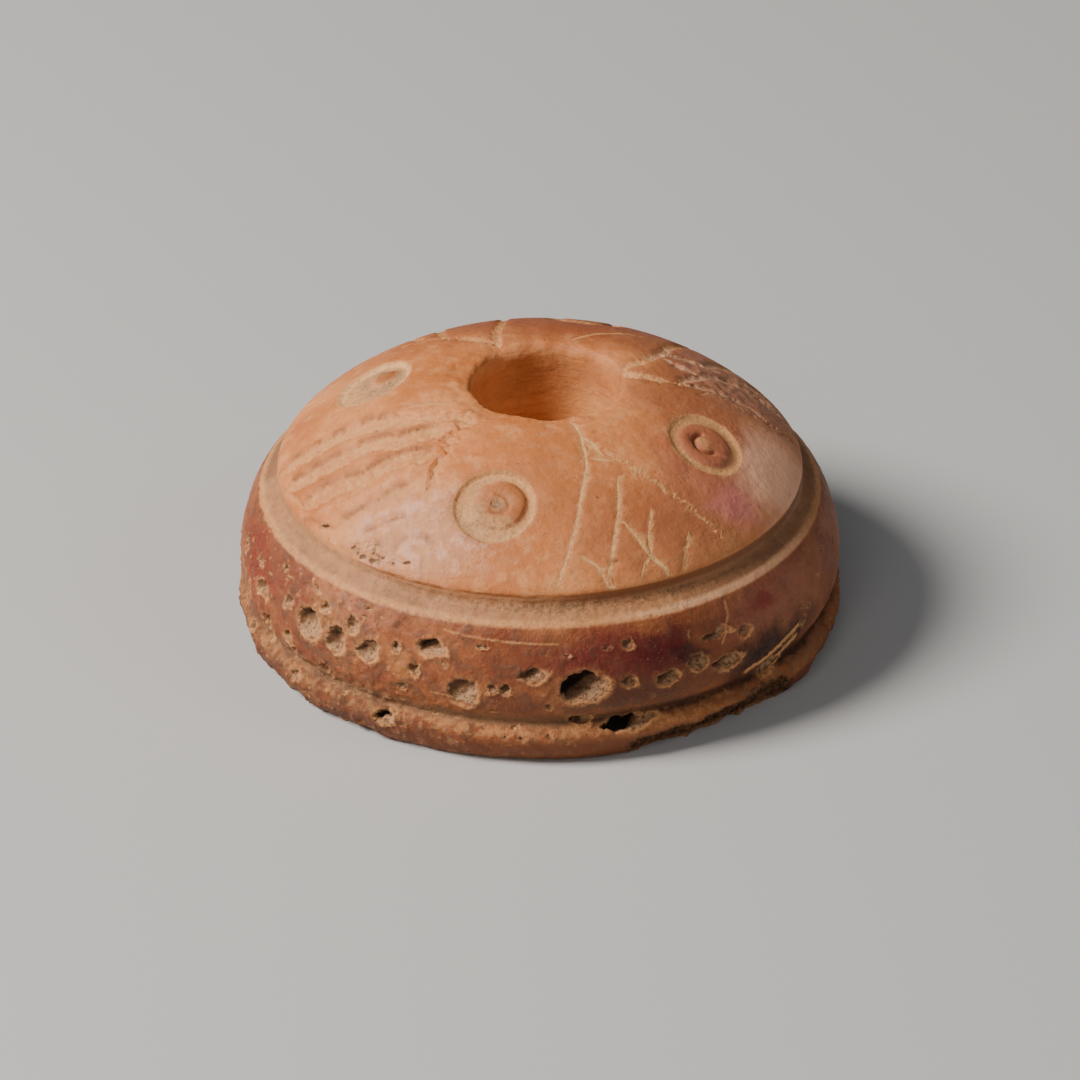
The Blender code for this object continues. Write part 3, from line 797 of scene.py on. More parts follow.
    # the eye column holds the brown of the rings' eyes and discs, and the painted shade of the cuts and ring
    # walls
    bone = keep(bone, "eye", most(ringBrownAndShade, strokeEdgeShade), where=marked)
    bone = keep(bone, "cut", most(strokeCut, less(ringCut, times(cover, 0.05 * unit))), where=marked)
    bone = keep(bone, "deposit", most(deposit, times(cover, times(patches, 0.5))), where=marked)

    # pores, one after another
    pores = guideGeometry("Pores")

    def sinkPore(bone, which):
        away = gap(shaken, sampled(pores, place, which))
        half, cross = picked(pores, "half", which), picked(pores, "cross", which)
        along = dot(away, picked(pores, "along", which, "FLOAT_VECTOR"))
        aside = less(dot(away, away), times(along, along))
        lengthShare = maths("DIVIDE", along, half)
        crossShare = maths("DIVIDE", aside, times(cross, cross))
        within = less(less(1.0, times(lengthShare, lengthShare)), crossShare)
        deepness = most(within, 0.0)
        up = maths("DIVIDE", dot(away, picked(pores, "sill", which, "FLOAT_VECTOR")), cross)
        slant = ramp(up, -0.8, 0.6, 0.45, 1.15)  # the floor rises from the upper left to the lower lip
        steep = ramp(up, -0.7, 0.4, 1.35, 0.6)  # a gentle lower wall and a steep upper one
        dent = times(maths("POWER", deepness, steep), times(slant, picked(pores, "deep", which)))
        # painted shade: marks the upper part of the pore, which the colour darkens as if it were in shadow
        upper = times(ramp(deepness, 0.0, 0.1), ramp(up, -1.0, 0.8, soft=False))
        upper = times(upper, picked(pores, "black", which))
        lip = band(within, -0.75, -0.1, 0.0, 0.35)
        lip = times(lip, times(picked(pores, "rim", which), ramp(up, 0.5, -0.7, 0.35, 1.0)))
        near = maths("LESS_THAN", length(away), times(most(half, cross), 1.6))
        for name, value in (("pore", dent), ("sill", upper), ("lip", lip)):
            bone = keep(bone, name, most(column(name), value), where=near)
        return bone

    bone = forEach(pores, bone, sinkPore)

    # soft roughness of the porous side, and the cuts taken off along the outward direction
    height = split(place)[2]
    angle = maths("ARCTAN2", split(place)[1], split(place)[0])
    leftness = towards(angle, -145, 0.9, 0.3)
    sideOnly = ramp(height, 9.6 * unit, 8.8 * unit)
    flangeOnly = ramp(height, 3.4 * unit, 2.6 * unit)
    rough = times(sideOnly, plus(0.25, most(times(leftness, 0.85), times(flangeOnly, 0.6))))
    gritty = times(wave(place, 1.3 / unit, 5.0, 0.6), wear["gritty"] * unit)
    lumpy = times(wave(place, 0.45 / unit, 2.0), wear["lumpy"] * unit)
    atFront = towards(angle, -85, 0.7, 0.35)
    lumpy = times(lumpy, less(1.0, times(atFront, 0.75)))
    rough = times(rough, less(1.0, times(times(atFront, flangeOnly), 0.6)))
    porous = plus(times(rough, gritty), times(flangeOnly, lumpy))
    fromAxis = length(vectors("MULTIPLY", place, (1.0, 1.0, 0.0)))
    rimOnly = times(ramp(fromAxis, 6.2 * unit, 5.4 * unit), ramp(height, 14.5 * unit, 16.0 * unit))
    uneven = wave(place, 0.5 / unit, 3.0)
    porous = plus(porous, times(rimOnly, times(uneven, wear["uneven rim"] * unit)))
    centre, reach = [tuple(wide * unit for wide in wear[key]) for key in ("scored place", "scored reach")]
    scored = bench.egg(place, centre, reach, 1.1, 0.6)
    porous = plus(porous, times(scored, times(gritty, wear["scored share"])))
    worn = times(sideOnly, most(leftness, times(flangeOnly, 0.6)))
    grains = times(worn, ramp(noise(place, 2.0 / unit, 2.0), 0.64, 0.72))
    bone = keep(bone, "grain", grains)
    porous = less(porous, times(column("grain"), wear["grains"] * unit))
    crumb = wave(place, 2.4 / unit, 4.0, 0.7)
    grooveOnly = band(height, 9.0 * unit, 9.5 * unit, 10.1 * unit, 10.5 * unit)
    porous = plus(porous, times(grooveOnly, times(crumb, wear["groove crumbs"] * unit)))
    inPore = ramp(column("pore"), 0.02 * unit, 0.2 * unit)
    crumbly = plus(inPore, times(column("lip"), 0.4))
    porous = plus(porous, times(crumbly, times(crumb, wear["pore crumbs"] * unit)))
    porous = less(porous, times(column("lip"), wear["lips"] * unit))
    depth = plus(plus(column("cut"), column("pore")), porous)
    bone = moved(bone, gap(place, scaled(outward, depth)))

    # bites: whatever is inside a rough egg is pushed out to its skin
    bone = keep(bone, "jagged", jitter(place, 0.8 / unit, 4.0, 0.6), "FLOAT_VECTOR")
    jagged = column("jagged", "FLOAT_VECTOR")
    bites = guideGeometry("Bites")

    def bite(bone, which):
        centre = sampled(bites, place, which)
        offset = gap(place, centre)
        uneven = added(offset, scaled(jagged, wear["ragged bites"] * unit))
        inputs = {"Vector": uneven, "Angle": times(picked(bites, "turn", which), -1.0)}
        local = bench.add("ShaderNodeVectorRotate", inputs, rotation_type="Z_AXIS").outputs[0]
        reach = length(vectors("DIVIDE", local, picked(bites, "size", which, "FLOAT_VECTOR")))
        push = maths("DIVIDE", 1.0, most(maths("MINIMUM", reach, 1.0), 0.35))
        bone = keep(bone, "chip", most(column("chip"), ramp(reach, 1.06, 1.0)))
        isIn = maths("LESS_THAN", reach, 1.0)
        return moved(bone, added(centre, scaled(offset, push)), isIn)

    bone = forEach(bites, bone, bite)

    for spare in ("around", "section", "outward", "shaken", "jagged"):
        bone = bench.add("GeometryNodeRemoveAttribute", {"Geometry": bone, "Name": spare}).outputs[0]
    bone = bench.add("GeometryNodeSetShadeSmooth", {0: bone}).outputs[0]
    bone = bench.add("GeometryNodeRealizeInstances", {0: bone}).outputs[0]
    bone = bench.add("GeometryNodeSetMaterial", {"Geometry": bone, "Material": material}).outputs[0]
    bench.add("NodeGroupOutput", {0: bone})
    return tree, names


# bone, its stains and its soil, with painted shade and painted highlights laid over them
finish = {
    "tan": (0.690, 0.262, 0.090),
    "orange": (0.520, 0.160, 0.042),
    "pale": (0.770, 0.375, 0.160),
    "body red": (0.155, 0.028, 0.013),
    "body brown": (0.250, 0.074, 0.026),
    "soil": (0.690, 0.328, 0.128),
    "soil grey": (0.460, 0.228, 0.100),
    "band": (0.410, 0.205, 0.095),
    "band grey": (0.250, 0.135, 0.070),
    "scratch": (0.820, 0.450, 0.200),
    "pore floor": (0.470, 0.270, 0.145),
    "pore brown": (0.160, 0.078, 0.038),
    # painted pore shadow: the near black laid over the pores' upper parts
    "painted pore shadow": (0.010, 0.005, 0.003),
    "hole": (0.800, 0.335, 0.115),
    "speck": (0.150, 0.050, 0.020),
    "bloom": ((-8.0, -12.5, 12.8), (7.0, 4.5, 3.6)),  # place and reach of the pale bloom at the front
    "rosy": ((12.5, 3.5, 13.0), (8.5, 4.6, 4.5)),  # and of the rosy soil at the right back
    "surface": {
        "Subsurface Weight": 0.12,
        "Subsurface Radius": (1.0, 0.45, 0.2),
        "Subsurface Scale": 0.8 * unit,
        "IOR": 1.5,
        "Specular IOR Level": 0.26,
    },
    "greyed": (0.500, 0.265, 0.140),
    "lathe line": (0.40, 0.13, 0.045),
    "hole line": (0.66, 0.250, 0.076),
    "hole pale": (0.72, 0.340, 0.130),
    "lilac": (0.420, 0.230, 0.165),
    "frost": (0.820, 0.450, 0.320),
    "frost gap": (0.540, 0.260, 0.125),
    "hair line": (0.260, 0.105, 0.050),
    "blot": (0.140, 0.062, 0.034),
    "groove brown": (0.360, 0.145, 0.058),
    "groove pale": (0.560, 0.310, 0.160),
    # under edge: a thin brown line and painted shade under the dome's edge
    "under edge line and shade": (0.240, 0.072, 0.018),
    "groove shade": (0.210, 0.095, 0.045),
    # groove dusk: painted shade
    "groove dusk": (0.230, 0.110, 0.055),
    "groove speck": (0.200, 0.105, 0.055),
    "groove grime": (0.170, 0.088, 0.042),
    # bright ridge: a painted highlight on the shoulder ridge
    "painted ridge highlight": (0.860, 0.480, 0.290),
    "grime speck": (0.140, 0.076, 0.042),
    # deep soil: soil darkened into painted shade in the low groove on the right
    "deep soil and shade": (0.030, 0.014, 0.007),
    "flange dark": (0.095, 0.028, 0.010),
    "flange brown": (0.260, 0.078, 0.027),
    "flange stain": (0.110, 0.046, 0.026),
    "rosy soil": (0.600, 0.335, 0.215),
    # cut brown: the brown of the rings' eyes and discs, also used as painted shade along the cuts and in the
    # ring walls
    "cut brown and shade": (0.250, 0.082, 0.028),
    "grey soil": (0.150, 0.088, 0.045),
    "pale soil": (0.380, 0.235, 0.135),
    # chip colours: broken bone darkened as painted shade
    "chip dark": (0.045, 0.020, 0.009),
    "chip pale": (0.240, 0.120, 0.056),
    # stains, with a painted sheen and painted shade among them: colour, place (x, y, z), reach, strength, in
    # units
    "stains and painted light": [
        ((0.640, 0.300, 0.165), (-8.0, -12.5, 12.8), (6.0, 3.5, 3.0), 0.65),
        ((0.450, 0.150, 0.050), (-13.4, -4.6, 13.0), (4.6, 3.4, 2.0), 0.55),
        ((0.470, 0.150, 0.045), (-8.0, -6.6, 15.0), (4.0, 2.0, 1.6), 0.45),
        ((0.420, 0.133, 0.076), (10.5, -5.5, 13.8), (6.5, 7.5, 3.4), 0.78),
        # darker and redder over the back of the dome: partly red staining, partly painted shade where the
        # dome faces away from the light
        ((0.270, 0.072, 0.028), (1.0, 10.5, 14.8), (13.0, 8.6, 4.4), 0.92),
        ((0.360, 0.118, 0.046), (9.0, 3.0, 15.2), (6.5, 7.0, 2.6), 0.85),
        ((0.400, 0.125, 0.045), (5.5, -12.0, 13.0), (6.0, 5.5, 3.2), 0.75),
        ((0.330, 0.105, 0.042), (7.5, -0.5, 16.0), (3.8, 4.2, 2.2), 0.60),
        ((0.450, 0.150, 0.048), (0.5, -9.5, 14.5), (3.8, 5.4, 2.8), 0.70),
        ((0.300, 0.100, 0.042), (9.5, -11.5, 12.5), (4.2, 3.2, 2.6), 0.50),
        ((0.370, 0.175, 0.112), (12.0, 3.6, 13.2), (8.0, 4.8, 3.8), 0.75),
        # painted sheen: a pale soft highlight over the right of the dome
        ((0.930, 0.490, 0.310), (14.6, -4.2, 12.3), (4.0, 5.0, 3.2), 0.85),
        ((0.560, 0.180, 0.150), (12.2, -8.8, 12.3), (2.2, 2.1, 2.1), 0.80),
        ((0.200, 0.048, 0.024), (0.5, -18.2, 7.0), (5.0, 2.0, 1.5), 0.70),
        ((0.130, 0.032, 0.016), (6.5, -17.0, 5.6), (7.5, 3.5, 3.2), 0.75),
        ((0.350, 0.115, 0.068), (14.2, -11.6, 7.6), (5.0, 5.5, 2.2), 0.75),
        ((0.170, 0.020, 0.016), (5.2, -17.4, 7.2), (5.5, 2.6, 1.9), 0.85),
        ((0.110, 0.007, 0.009), (7.4, -16.8, 7.2), (2.6, 1.6, 1.3), 0.85),
        ((0.040, 0.005, 0.007), (9.0, -16.2, 6.5), (1.7, 1.3, 0.8), 0.75),
        ((0.260, 0.024, 0.018), (13.6, -12.1, 7.9), (1.7, 1.6, 0.8), 0.70),
        ((0.200, 0.028, 0.014), (-17.8, -5.2, 7.1), (3.0, 4.8, 2.2), 0.88),
        ((0.200, 0.050, 0.026), (-15.4, -9.6, 7.8), (3.6, 4.0, 2.4), 0.82),
        ((0.340, 0.120, 0.070), (-11.5, -14.2, 8.2), (4.5, 3.2, 1.2), 0.50),
        ((0.400, 0.160, 0.050), (-13.4, -12.4, 7.3), (1.8, 2.0, 1.5), 0.60),
        ((0.420, 0.170, 0.055), (-8.3, -16.6, 6.2), (2.4, 1.6, 1.2), 0.70),
        ((0.520, 0.210, 0.060), (-11.3, -11.9, 10.9), (3.0, 2.6, 0.35), 0.75),
        ((0.200, 0.009, 0.007), (-9.6, -16.5, 1.9), (1.1, 1.1, 0.8), 0.90),
        ((0.200, 0.020, 0.012), (-7.9, -17.0, 2.2), (1.6, 1.2, 0.6), 0.60),
        # near black low on the right of the body: partly soil, partly painted shade
        ((0.030, 0.009, 0.005), (14.2, -12.0, 4.4), (5.5, 5.5, 1.9), 0.95),
        ((0.110, 0.032, 0.015), (4.0, -18.0, 4.6), (5.5, 2.0, 1.3), 0.65),
        ((0.160, 0.050, 0.024), (-2.5, -18.6, 4.7), (4.0, 1.5, 1.0), 0.60),
    ],
    # places where dark specks crowd: place and reach
    "grime": [
        ((-10.6, -12.4, 11.3), (2.6, 1.8, 0.6)),
        ((-12.5, -13.0, 5.5), (5.0, 4.0, 3.0)),
        ((6.0, -17.5, 3.6), (6.0, 3.0, 1.2)),
    ],
}


def boneMaterial():
    material = bpy.data.materials.new("wornBone")
    material.use_nodes = True
    tree = material.node_tree
    tree.nodes.clear()
    bench = Bench(tree)
    maths, times, plus, less, most = bench.maths, bench.times, bench.plus, bench.less, bench.most
    ramp, band, towards, egg = bench.ramp, bench.band, bench.towards, bench.egg
    noise, wave = bench.noise, bench.wave
    added, scaled, split, join, tint = bench.added, bench.scaled, bench.split, bench.join, bench.tint
    place = scaled(bench.add("ShaderNodeTexCoord").outputs["Object"], 1 / unit)
    x, y, z = split(place)
    radius = maths("SQRT", plus(times(x, x), times(y, y)))
    angle = maths("ARCTAN2", y, x)

    def column(name):
        return bench.add("ShaderNodeAttribute", attribute_name=name).outputs["Fac"]

    soil, pore, sill, lip, chip = [column(name) for name in ("soil", "pore", "sill", "lip", "chip")]
    eye, grain, deposit = column("eye"), column("grain"), column("deposit")
    pore = times(pore, 1 / unit)

    # places by the turned form
    onSide = ramp(z, 9.3, 8.9)
    inHole = times(ramp(radius, 5.6, 5.2), ramp(z, 16.5, 16.0))
    inGroove = band(z, 9.0, 9.35, 10.3, 10.75)
    onFlange = ramp(z, 3.3, 2.7)
    under = ramp(z, 0.35, 0.05)
    leftward = towards(angle, -140, 1.3, 0.5)

    # bone itself
    clouds = noise(place, 0.16, 4.0, 0.55)
    mottle = noise(place, 0.9, 4.0, 0.6)
    colour = tint(ramp(clouds, 0.35, 0.65), finish["orange"], finish["tan"])

    def lay(amount, tone):
        # one more layer of colour over what is there
        nonlocal colour
        colour = tint(amount, colour, tone)

    lay(times(ramp(mottle, 0.47, 0.72), 0.5), finish["pale"])
    flush = noise(place, 2.0, 4.0, 0.65)
    lay(times(ramp(flush, 0.50, 0.66), 0.50), finish["orange"])
    greyed = noise(added(place, (31.0, 7.0, 3.0)), 1.3, 5.0, 0.68)
    lay(times(ramp(greyed, 0.54, 0.68), 0.40), finish["greyed"])
    reddened = ramp(noise(place, 0.35, 4.0, 0.6), 0.40, 0.60)
    sideColour = tint(reddened, finish["body brown"], finish["body red"])
    lay(times(onSide, ramp(clouds, 0.3, 0.7, 0.9, 0.6)), sideColour)

    # turning lines, close on the hole's wall
    lathe = join(times(radius, 2.6), times(angle, 0.9), times(z, 2.6))
    lines = noise(lathe, 1.0, 3.0, 0.6)
    lay(times(ramp(lines, 0.55, 0.72), 0.22), finish["lathe line"])
    holeColour = tint(ramp(lines, 0.45, 0.75), finish["hole"], finish["hole line"])
    holeColour = tint(ramp(mottle, 0.45, 0.62, 0.0, 0.5), holeColour, finish["hole pale"])
    lay(inHole, holeColour)

    # stains, with a painted sheen and painted shade among them
    stainPlace = added(place, scaled(bench.jitter(place, 0.5, 4.0, 0.6), 3.2))
    for stain, centre, reach, strength in finish["stains and painted light"]:
        lay(egg(stainPlace, centre, reach, 1.15, 0.35, strength), stain)

    # small marks: brown specks, and pale flecks that are painted glints
    specks = noise(place, 3.4, 3.0, 0.65)
    sparse = ramp(noise(place, 0.6, 2.0), 0.45, 0.62)
    lay(times(times(ramp(specks, 0.63, 0.72), sparse), 0.6), finish["speck"])
    lilac = times(egg(place, *finish["bloom"], 1.1, 0.5), ramp(noise(place, 1.7, 4.0, 0.7), 0.52, 0.66))
    lay(times(lilac, 0.45), finish["lilac"])
    frost = noise(added(place, (5.0, 19.0, 2.0)), 0.9, 6.0, 0.68)
    bloomed = egg(place, *finish["bloom"], 1.25, 0.5)
    lay(times(bloomed, ramp(frost, 0.46, 0.62, 0.0, 0.50)), finish["frost"])
    lay(times(bloomed, ramp(frost, 0.50, 0.38, 0.0, 0.60)), finish["frost gap"])
    # painted glints: small pale flecks
    paintedGlints = noise(place, 5.5, 2.0, 0.7)
    lay(times(ramp(paintedGlints, 0.62, 0.74), 0.35), finish["pale"])

    # fine dirt in hair lines and blotches, thickest on the porous left
    hairline = maths("ABSOLUTE", wave(place, 0.8, 5.0, 0.65))
    hairline = times(ramp(hairline, 0.012, 0.002), ramp(noise(place, 0.5, 3.0), 0.46, 0.60))
    lay(times(hairline, 0.30), finish["hair line"])
    blots = times(ramp(noise(place, 1.1, 6.0, 0.7), 0.46, 0.61), onSide)
    blots = times(blots, plus(0.28, times(leftward, 0.45)))
    lay(blots, finish["blot"])

    # the turned groove: a thin brown line under the dome's edge with painted shade beneath it that widens
    # round to the right, soil in patches, a worn ridge at the shoulder with a painted highlight at the front
    # right
    crumbs = noise(place, 4.0, 4.0, 0.7)
    patches = noise(join(times(angle, 3.0), times(z, 0.8), 0.0), 1.0, 4.0, 0.6)
    leftGroove = times(towards(angle, -160, 0.9, 0.5), 0.5)
    grooveSoil = times(inGroove, most(ramp(patches, 0.42, 0.62, 0.10, 0.7), leftGroove))
    bandColour = tint(ramp(noise(place, 1.5, 5.0, 0.7), 0.38, 0.60), finish["band grey"], finish["band"])
    lay(times(inGroove, 0.6), tint(mottle, finish["groove brown"], finish["groove pale"]))
    dust = noise(place, 2.6, 5.0, 0.75)
    speckled = times(inGroove, ramp(dust, 0.54, 0.64))
    lay(times(grooveSoil, ramp(crumbs, 0.3, 0.5, 0.7, 1.0)), bandColour)
    notLeft = towards(angle, -170, 0.50, 0.85)  # the other way round: none near the left
    broken = noise(join(times(angle, 9.0), 0.0, times(z, 3.0)), 1.0, 4.0, 0.6)
    level = plus(z, times(wave(join(times(angle, 5.0), 0.0, 0.0), 1.0, 4.0, 0.6), 0.45))
    underEdgeLineAndShade = band(level, 10.38, 10.52, 10.62, 10.76)
    lowLine = band(level, 10.08, 10.18, 10.24, 10.34)
    underEdgeLineAndShade = most(underEdgeLineAndShade, times(lowLine, ramp(broken, 0.45, 0.60, 0.0, 0.6)))
    underEdgeLineAndShade = times(underEdgeLineAndShade, ramp(broken, 0.38, 0.54, 0.15, 1.0))
    # painted shade: a wide dark band under the dome's edge round the right side
    wide = band(z, 10.05, 10.35, 10.62, 10.80)
    underEdgeLineAndShade = most(underEdgeLineAndShade, times(wide, ramp(angle, -1.70, -1.30, 0.15, 1.0)))
    lay(times(underEdgeLineAndShade, ramp(notLeft, 0.0, 1.0, 0.1, 0.9)), finish["under edge line and shade"])
    shadedGroove = times(inGroove, ramp(angle, -1.15, -0.55, 0.0, 0.5))
    lay(shadedGroove, finish["groove shade"])
    # painted shade: the groove a little darker everywhere but at the lit front left
    lay(times(inGroove, ramp(angle, -2.3, -1.9, 0.0, 0.25)), finish["groove dusk"])
    frontGroove = towards(angle, -82, 0.75, 0.35)
    lay(times(speckled, 0.45), finish["groove speck"])
    grimy = times(band(z, 9.50, 9.75, 9.95, 10.20), ramp(crumbs, 0.44, 0.66))
    lay(times(times(grimy, frontGroove), 0.85), finish["groove grime"])
    ridge = band(z, 8.95, 9.12, 9.25, 9.45)
    lay(times(ridge, ramp(crumbs, 0.35, 0.55, 0.1, 0.6)), finish["soil"])
    # painted highlight along the shoulder ridge at the front right
    ridgeHighlight = times(ridge, towards(angle, -45, 0.6, 0.2))
    lay(times(ridgeHighlight, 0.50), finish["painted ridge highlight"])

    for centre, reach in finish["grime"]:
        specked = times(egg(stainPlace, centre, reach, 1.1, 0.5), ramp(dust, 0.47, 0.60))
        lay(times(specked, 0.80), finish["grime speck"])

    # flange: pale and crumbly along its upper edge, darker below, partly browner bone and partly painted
    # shade, and in the groove above it soil that turns into near-black painted shade round to the right
    lowGroove = band(z, 2.45, 2.75, 3.1, 3.7)
    # painted shade: the soil in the low groove turns near black round to the right
    rightward = ramp(angle, -1.7, -1.2)
    lowSoilAndShade = tint(rightward, finish["band grey"], finish["deep soil and shade"])
    lay(times(lowGroove, ramp(crumbs, 0.3, 0.55, 0.45, 0.85)), lowSoilAndShade)
    flangeEdge = band(z, 1.7, 2.2, 2.5, 2.75)
    lumps = ramp(noise(place, 1.9, 4.0, 0.65), 0.42, 0.60, 0.05, 0.62)
    edgeColour = tint(ramp(angle, -1.15, -0.75), finish["soil"], finish["band grey"])
    lumps = times(lumps, less(1.0, times(ramp(maths("ABSOLUTE", plus(angle, 1.5)), 0.7, 0.3), 0.35)))
    lay(times(flangeEdge, lumps), edgeColour)
    # the lower face of the flange darkened: partly browner bone, partly painted shade
    flangeFace = ramp(z, 1.9, 1.4)
    lay(times(flangeFace, 0.65), tint(clouds, finish["flange dark"], finish["flange brown"]))
    wornEdge = times(times(onFlange, leftward), ramp(noise(place, 1.3, 4.0, 0.65), 0.52, 0.66))
    lay(times(wornEdge, 0.55), finish["band"])
    darkened = times(times(onFlange, ramp(angle, -1.80, -2.15)), ramp(mottle, 0.40, 0.60, 0.62, 0.25))
    lay(darkened, finish["flange stain"])

    # soil in the cuts and the pores, with painted shade along the cuts' upper edges, in the rings' walls and
    # over the pores' upper parts
    hairs = wave(join(times(angle, 14.0), times(radius, 5.5), times(z, 3.0)), 1.0, 3.0, 0.6)
    raggedSoil = ramp(plus(soil, times(hairs, 0.38)), 0.22, 0.68)
    domeSoil = tint(ramp(soil, 0.72, 0.90), finish["soil"], finish["scratch"])
    domeSoil = tint(ramp(crumbs, 0.58, 0.38, 0.0, 0.45), domeSoil, finish["soil grey"])
    domeSoil = tint(egg(place, *finish["rosy"], 1.1, 0.8, 0.75), domeSoil, finish["rosy soil"])
    lay(times(raggedSoil, ramp(crumbs, 0.25, 0.5, 0.65, 1.0)), domeSoil)
    # brown in the rings' eyes and discs, and painted shade along the cuts' upper edges and in the rings'
    # walls
    lay(times(eye, ramp(crumbs, 0.3, 0.6, 0.95, 0.6)), finish["cut brown and shade"])
    greyDirt = tint(ramp(crumbs, 0.35, 0.6), finish["grey soil"], finish["pale soil"])
    lay(times(deposit, 0.85), greyDirt)
    inPore = ramp(pore, 0.02, 0.09)
    poreColour = tint(ramp(crumbs, 0.36, 0.56), finish["pore brown"], finish["pore floor"])
    # painted shade: the upper part of each pore turns brown
    poreColour = tint(ramp(sill, 0.30, 0.62), poreColour, finish["pore brown"])
    lay(times(inPore, 0.92), poreColour)
    lay(times(lip, ramp(crumbs, 0.34, 0.54, 0.15, 0.85)), finish["soil"])
    lay(times(grain, ramp(crumbs, 0.34, 0.54, 0.20, 0.65)), finish["soil"])
    # painted shadow: near black over the upper part of the deeper pores
    dark = times(ramp(sill, 0.60, 0.76), ramp(pore, 0.22, 0.46))
    lay(times(dark, 0.97), finish["painted pore shadow"])
    # broken bone in the bites, darkened as painted shade
    chipColourAndShade = tint(ramp(crumbs, 0.38, 0.62), finish["chip dark"], finish["chip pale"])
    lay(times(chip, 0.85), chipColourAndShade)
    lay(times(under, 0.4), finish["pale"])

    dull = most(most(soil, inPore), most(chip, most(grooveSoil, most(flangeEdge, lowGroove))))
    shine = ramp(mottle, 0.3, 0.7, 0.48, 0.64)
    shine = plus(shine, times(dull, 0.32))

    # bump, from broad waves to grain
    waves = noise(place, 0.7, 3.0, 0.5)
    tooth = noise(place, 7.0, 4.0, 0.65)
    ripples = noise(place, 2.2, 4.0, 0.6)
    relief = plus(times(waves, 0.16), times(tooth, plus(0.018, times(dull, 0.07))))
    relief = plus(relief, times(ripples, plus(0.055, times(onSide, 0.05))))
    relief = plus(relief, times(bloomed, times(frost, 0.22)))
    relief = plus(relief, times(lines, plus(0.012, times(most(times(inHole, 0.5), inGroove), 0.05))))
    bump = bench.add("ShaderNodeBump", {"Height": times(relief, unit), "Strength": 1.0, "Distance": 1.0})

    inputs = {"Base Color": colour, "Roughness": shine, "Normal": bump.outputs[0]}
    shader = bench.add("ShaderNodeBsdfPrincipled", inputs)
    for name, value in finish["surface"].items():
        shader.inputs[name].default_value = value
    bench.add("ShaderNodeOutputMaterial", {"Surface": shader.outputs[0]})
    return material


def plainMesh(source, name):
    # the evaluated object as a mesh of its own
    graph = bpy.context.evaluated_depsgraph_get()
    mesh = bpy.data.meshes.new_from_object(source.evaluated_get(graph))
    mesh.name = name
    return mesh


def makeWhorl():
    material = boneMaterial()
    guides = {
        "Profile": profileGuide(),
        "Strokes": strokeGuide(),
        "Rings": ringGuide(),
        "Pores": poreGuide(),
        "Bites": biteGuide(),
    }
    tree, names = boneTree(material)
    whorl = bpy.data.objects.new("whorlBone", bpy.data.meshes.new("whorlSeed"))
    turning = whorl.modifiers.new("Turned bone", "NODES")
    turning.node_group = tree
    for name, guide in guides.items():
        turning[names[name]] = guide
    turning[names["Rounds"]] = turned["rounds"]
    turning[names["Bore shift"]] = turned["bore shift"] * unit
    turning[names["Wobble"]] = turned["wobble"] * unit
    turning[names["Ring radius"]] = rings["outer"] * unit
    bpy.context.scene.collection.objects.link(whorl)
    whorl.data = plainMesh(whorl, "whorlTurned")
    whorl.modifiers.clear()
    for guide in guides.values():
        bpy.data.objects.remove(guide, do_unlink=True)
    print(f"turned and cut: {len(whorl.data.polygons)} faces")

    # fewer faces where the bone is smooth
    mesh = whorl.data
    mesh.calc_loop_triangles()
    thin = whorl.modifiers.new("Thin out", "DECIMATE")
    thin.ratio = turned["triangles"] / len(mesh.loop_triangles)
    whorl.data = plainMesh(whorl, "whorlBone")
    whorl.modifiers.clear()
    whorl.data.shade_smooth()
    print(f"thinned: {len(whorl.data.polygons)} faces, {[a.name for a in whorl.data.attributes]}")
    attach(whorl, "root")
    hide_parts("whorl")
    return whorl


whorl = makeWhorl()

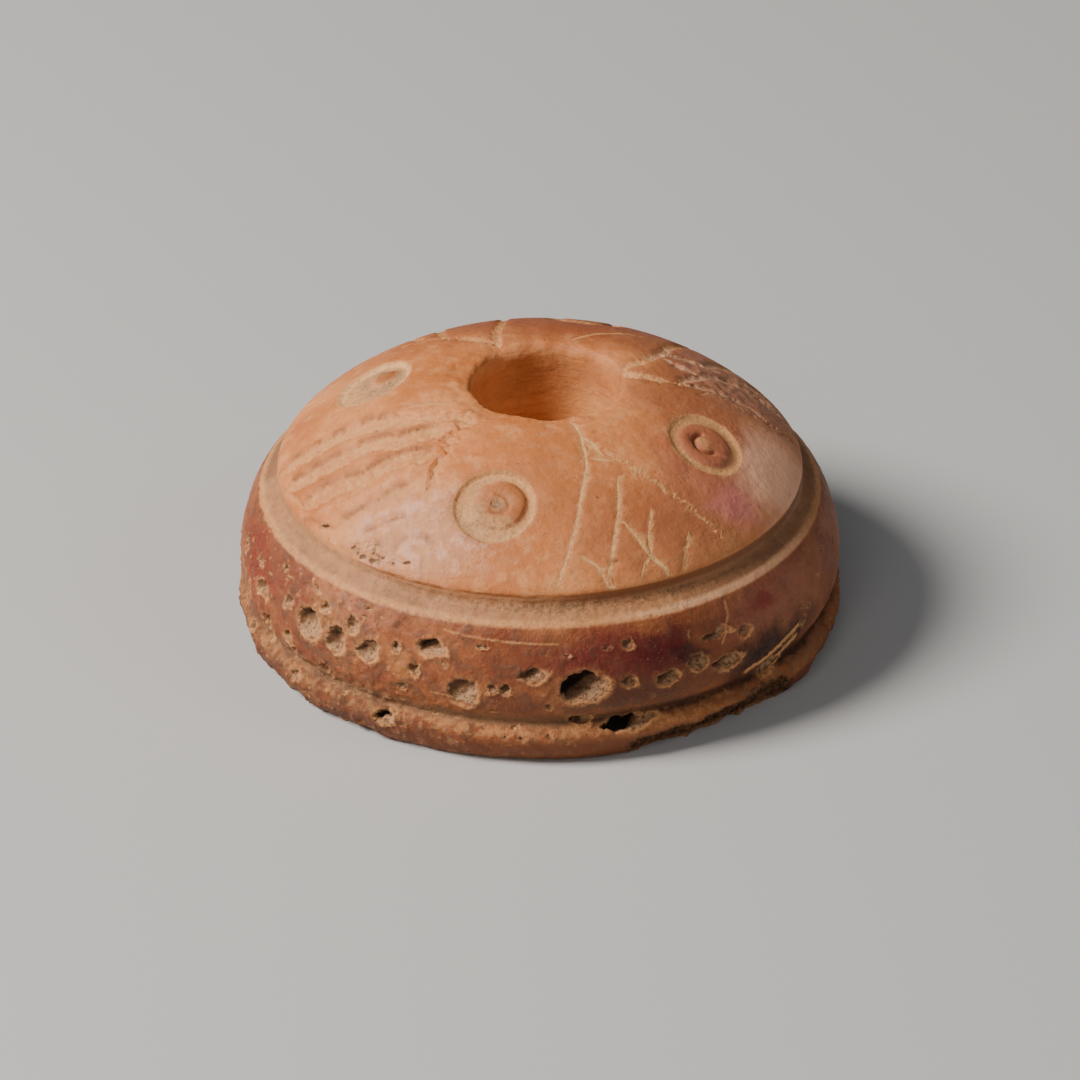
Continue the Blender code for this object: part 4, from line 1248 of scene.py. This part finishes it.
# floor, lights and camera
studio = {
    "floor": (0.50, 0.50, 0.50, 1),
    "floor roughness": 0.9,
    "floor reach": 2.0,  # in metres, as the lights' distances and sizes are
    "camera distance": 475,  # in units, from the middle of the underside
    "camera elevation": 30.56,
    "lens": 249.8,
    "sensor": 36,
    "near clip": 0.01,
    "aim height": 5.08,
    "sky": (0.9, 0.95, 1.0, 1),
    "sky strength": 0.07,
    # azimuth, elevation, distance, size, power, colour
    "lights": {
        "key": (194, 44, 0.5, 0.21, 4.3, (1.0, 0.94, 0.87)),
        "front": (255, 34, 0.8, 0.35, 0.9, (1.0, 0.97, 0.94)),
        "right": (345, 40, 0.8, 0.30, 0.75, (0.96, 0.97, 1.0)),
    },
}


def makeFloor():
    mesh = bpy.data.meshes.new("floor")
    reach = studio["floor reach"]
    corners = [(-reach, -reach, 0), (reach, -reach, 0), (reach, reach, 0), (-reach, reach, 0)]
    mesh.from_pydata(corners, [], [(0, 1, 2, 3)])
    floor = bpy.data.objects.new("floor", mesh)
    bpy.context.scene.collection.objects.link(floor)
    material = bpy.data.materials.new("paleFloor")
    material.use_nodes = True
    shader = material.node_tree.nodes["Principled BSDF"]
    shader.inputs["Base Color"].default_value = studio["floor"]
    shader.inputs["Roughness"].default_value = studio["floor roughness"]
    mesh.materials.append(material)


def makeLight(name, azimuth, elevation, distance, size, power, colour):
    lamp = bpy.data.lights.new(name, "AREA")
    lamp.shape = "DISK"
    lamp.size = size
    lamp.energy = power
    lamp.color = colour
    light = bpy.data.objects.new(name, lamp)
    turn, rise = math.radians(azimuth), math.radians(elevation)
    direction = Vector((math.cos(rise) * math.cos(turn), math.cos(rise) * math.sin(turn), math.sin(rise)))
    light.location = direction * distance
    light.rotation_euler = direction.to_track_quat("Z", "Y").to_euler()
    bpy.context.scene.collection.objects.link(light)


def makeCamera():
    rise = math.radians(studio["camera elevation"])
    distance = studio["camera distance"] * unit
    camera = bpy.data.objects.new("camera", bpy.data.cameras.new("camera"))
    camera.data.lens = studio["lens"]
    camera.data.sensor_width = studio["sensor"]
    camera.data.clip_start = studio["near clip"]
    camera.location = (0, -distance * math.cos(rise), distance * math.sin(rise))
    sight = camera.location - Vector((0, 0, studio["aim height"] * unit))
    camera.rotation_euler = sight.to_track_quat("Z", "Y").to_euler()
    bpy.context.scene.collection.objects.link(camera)
    bpy.context.scene.camera = camera


makeFloor()
for name, light in studio["lights"].items():
    makeLight(name, *light)
world = bpy.data.worlds.new("studio")
world.use_nodes = True
background = world.node_tree.nodes["Background"]
background.inputs["Color"].default_value = studio["sky"]
background.inputs["Strength"].default_value = studio["sky strength"]
bpy.context.scene.world = world
makeCamera()
print("floor, lights and camera placed")
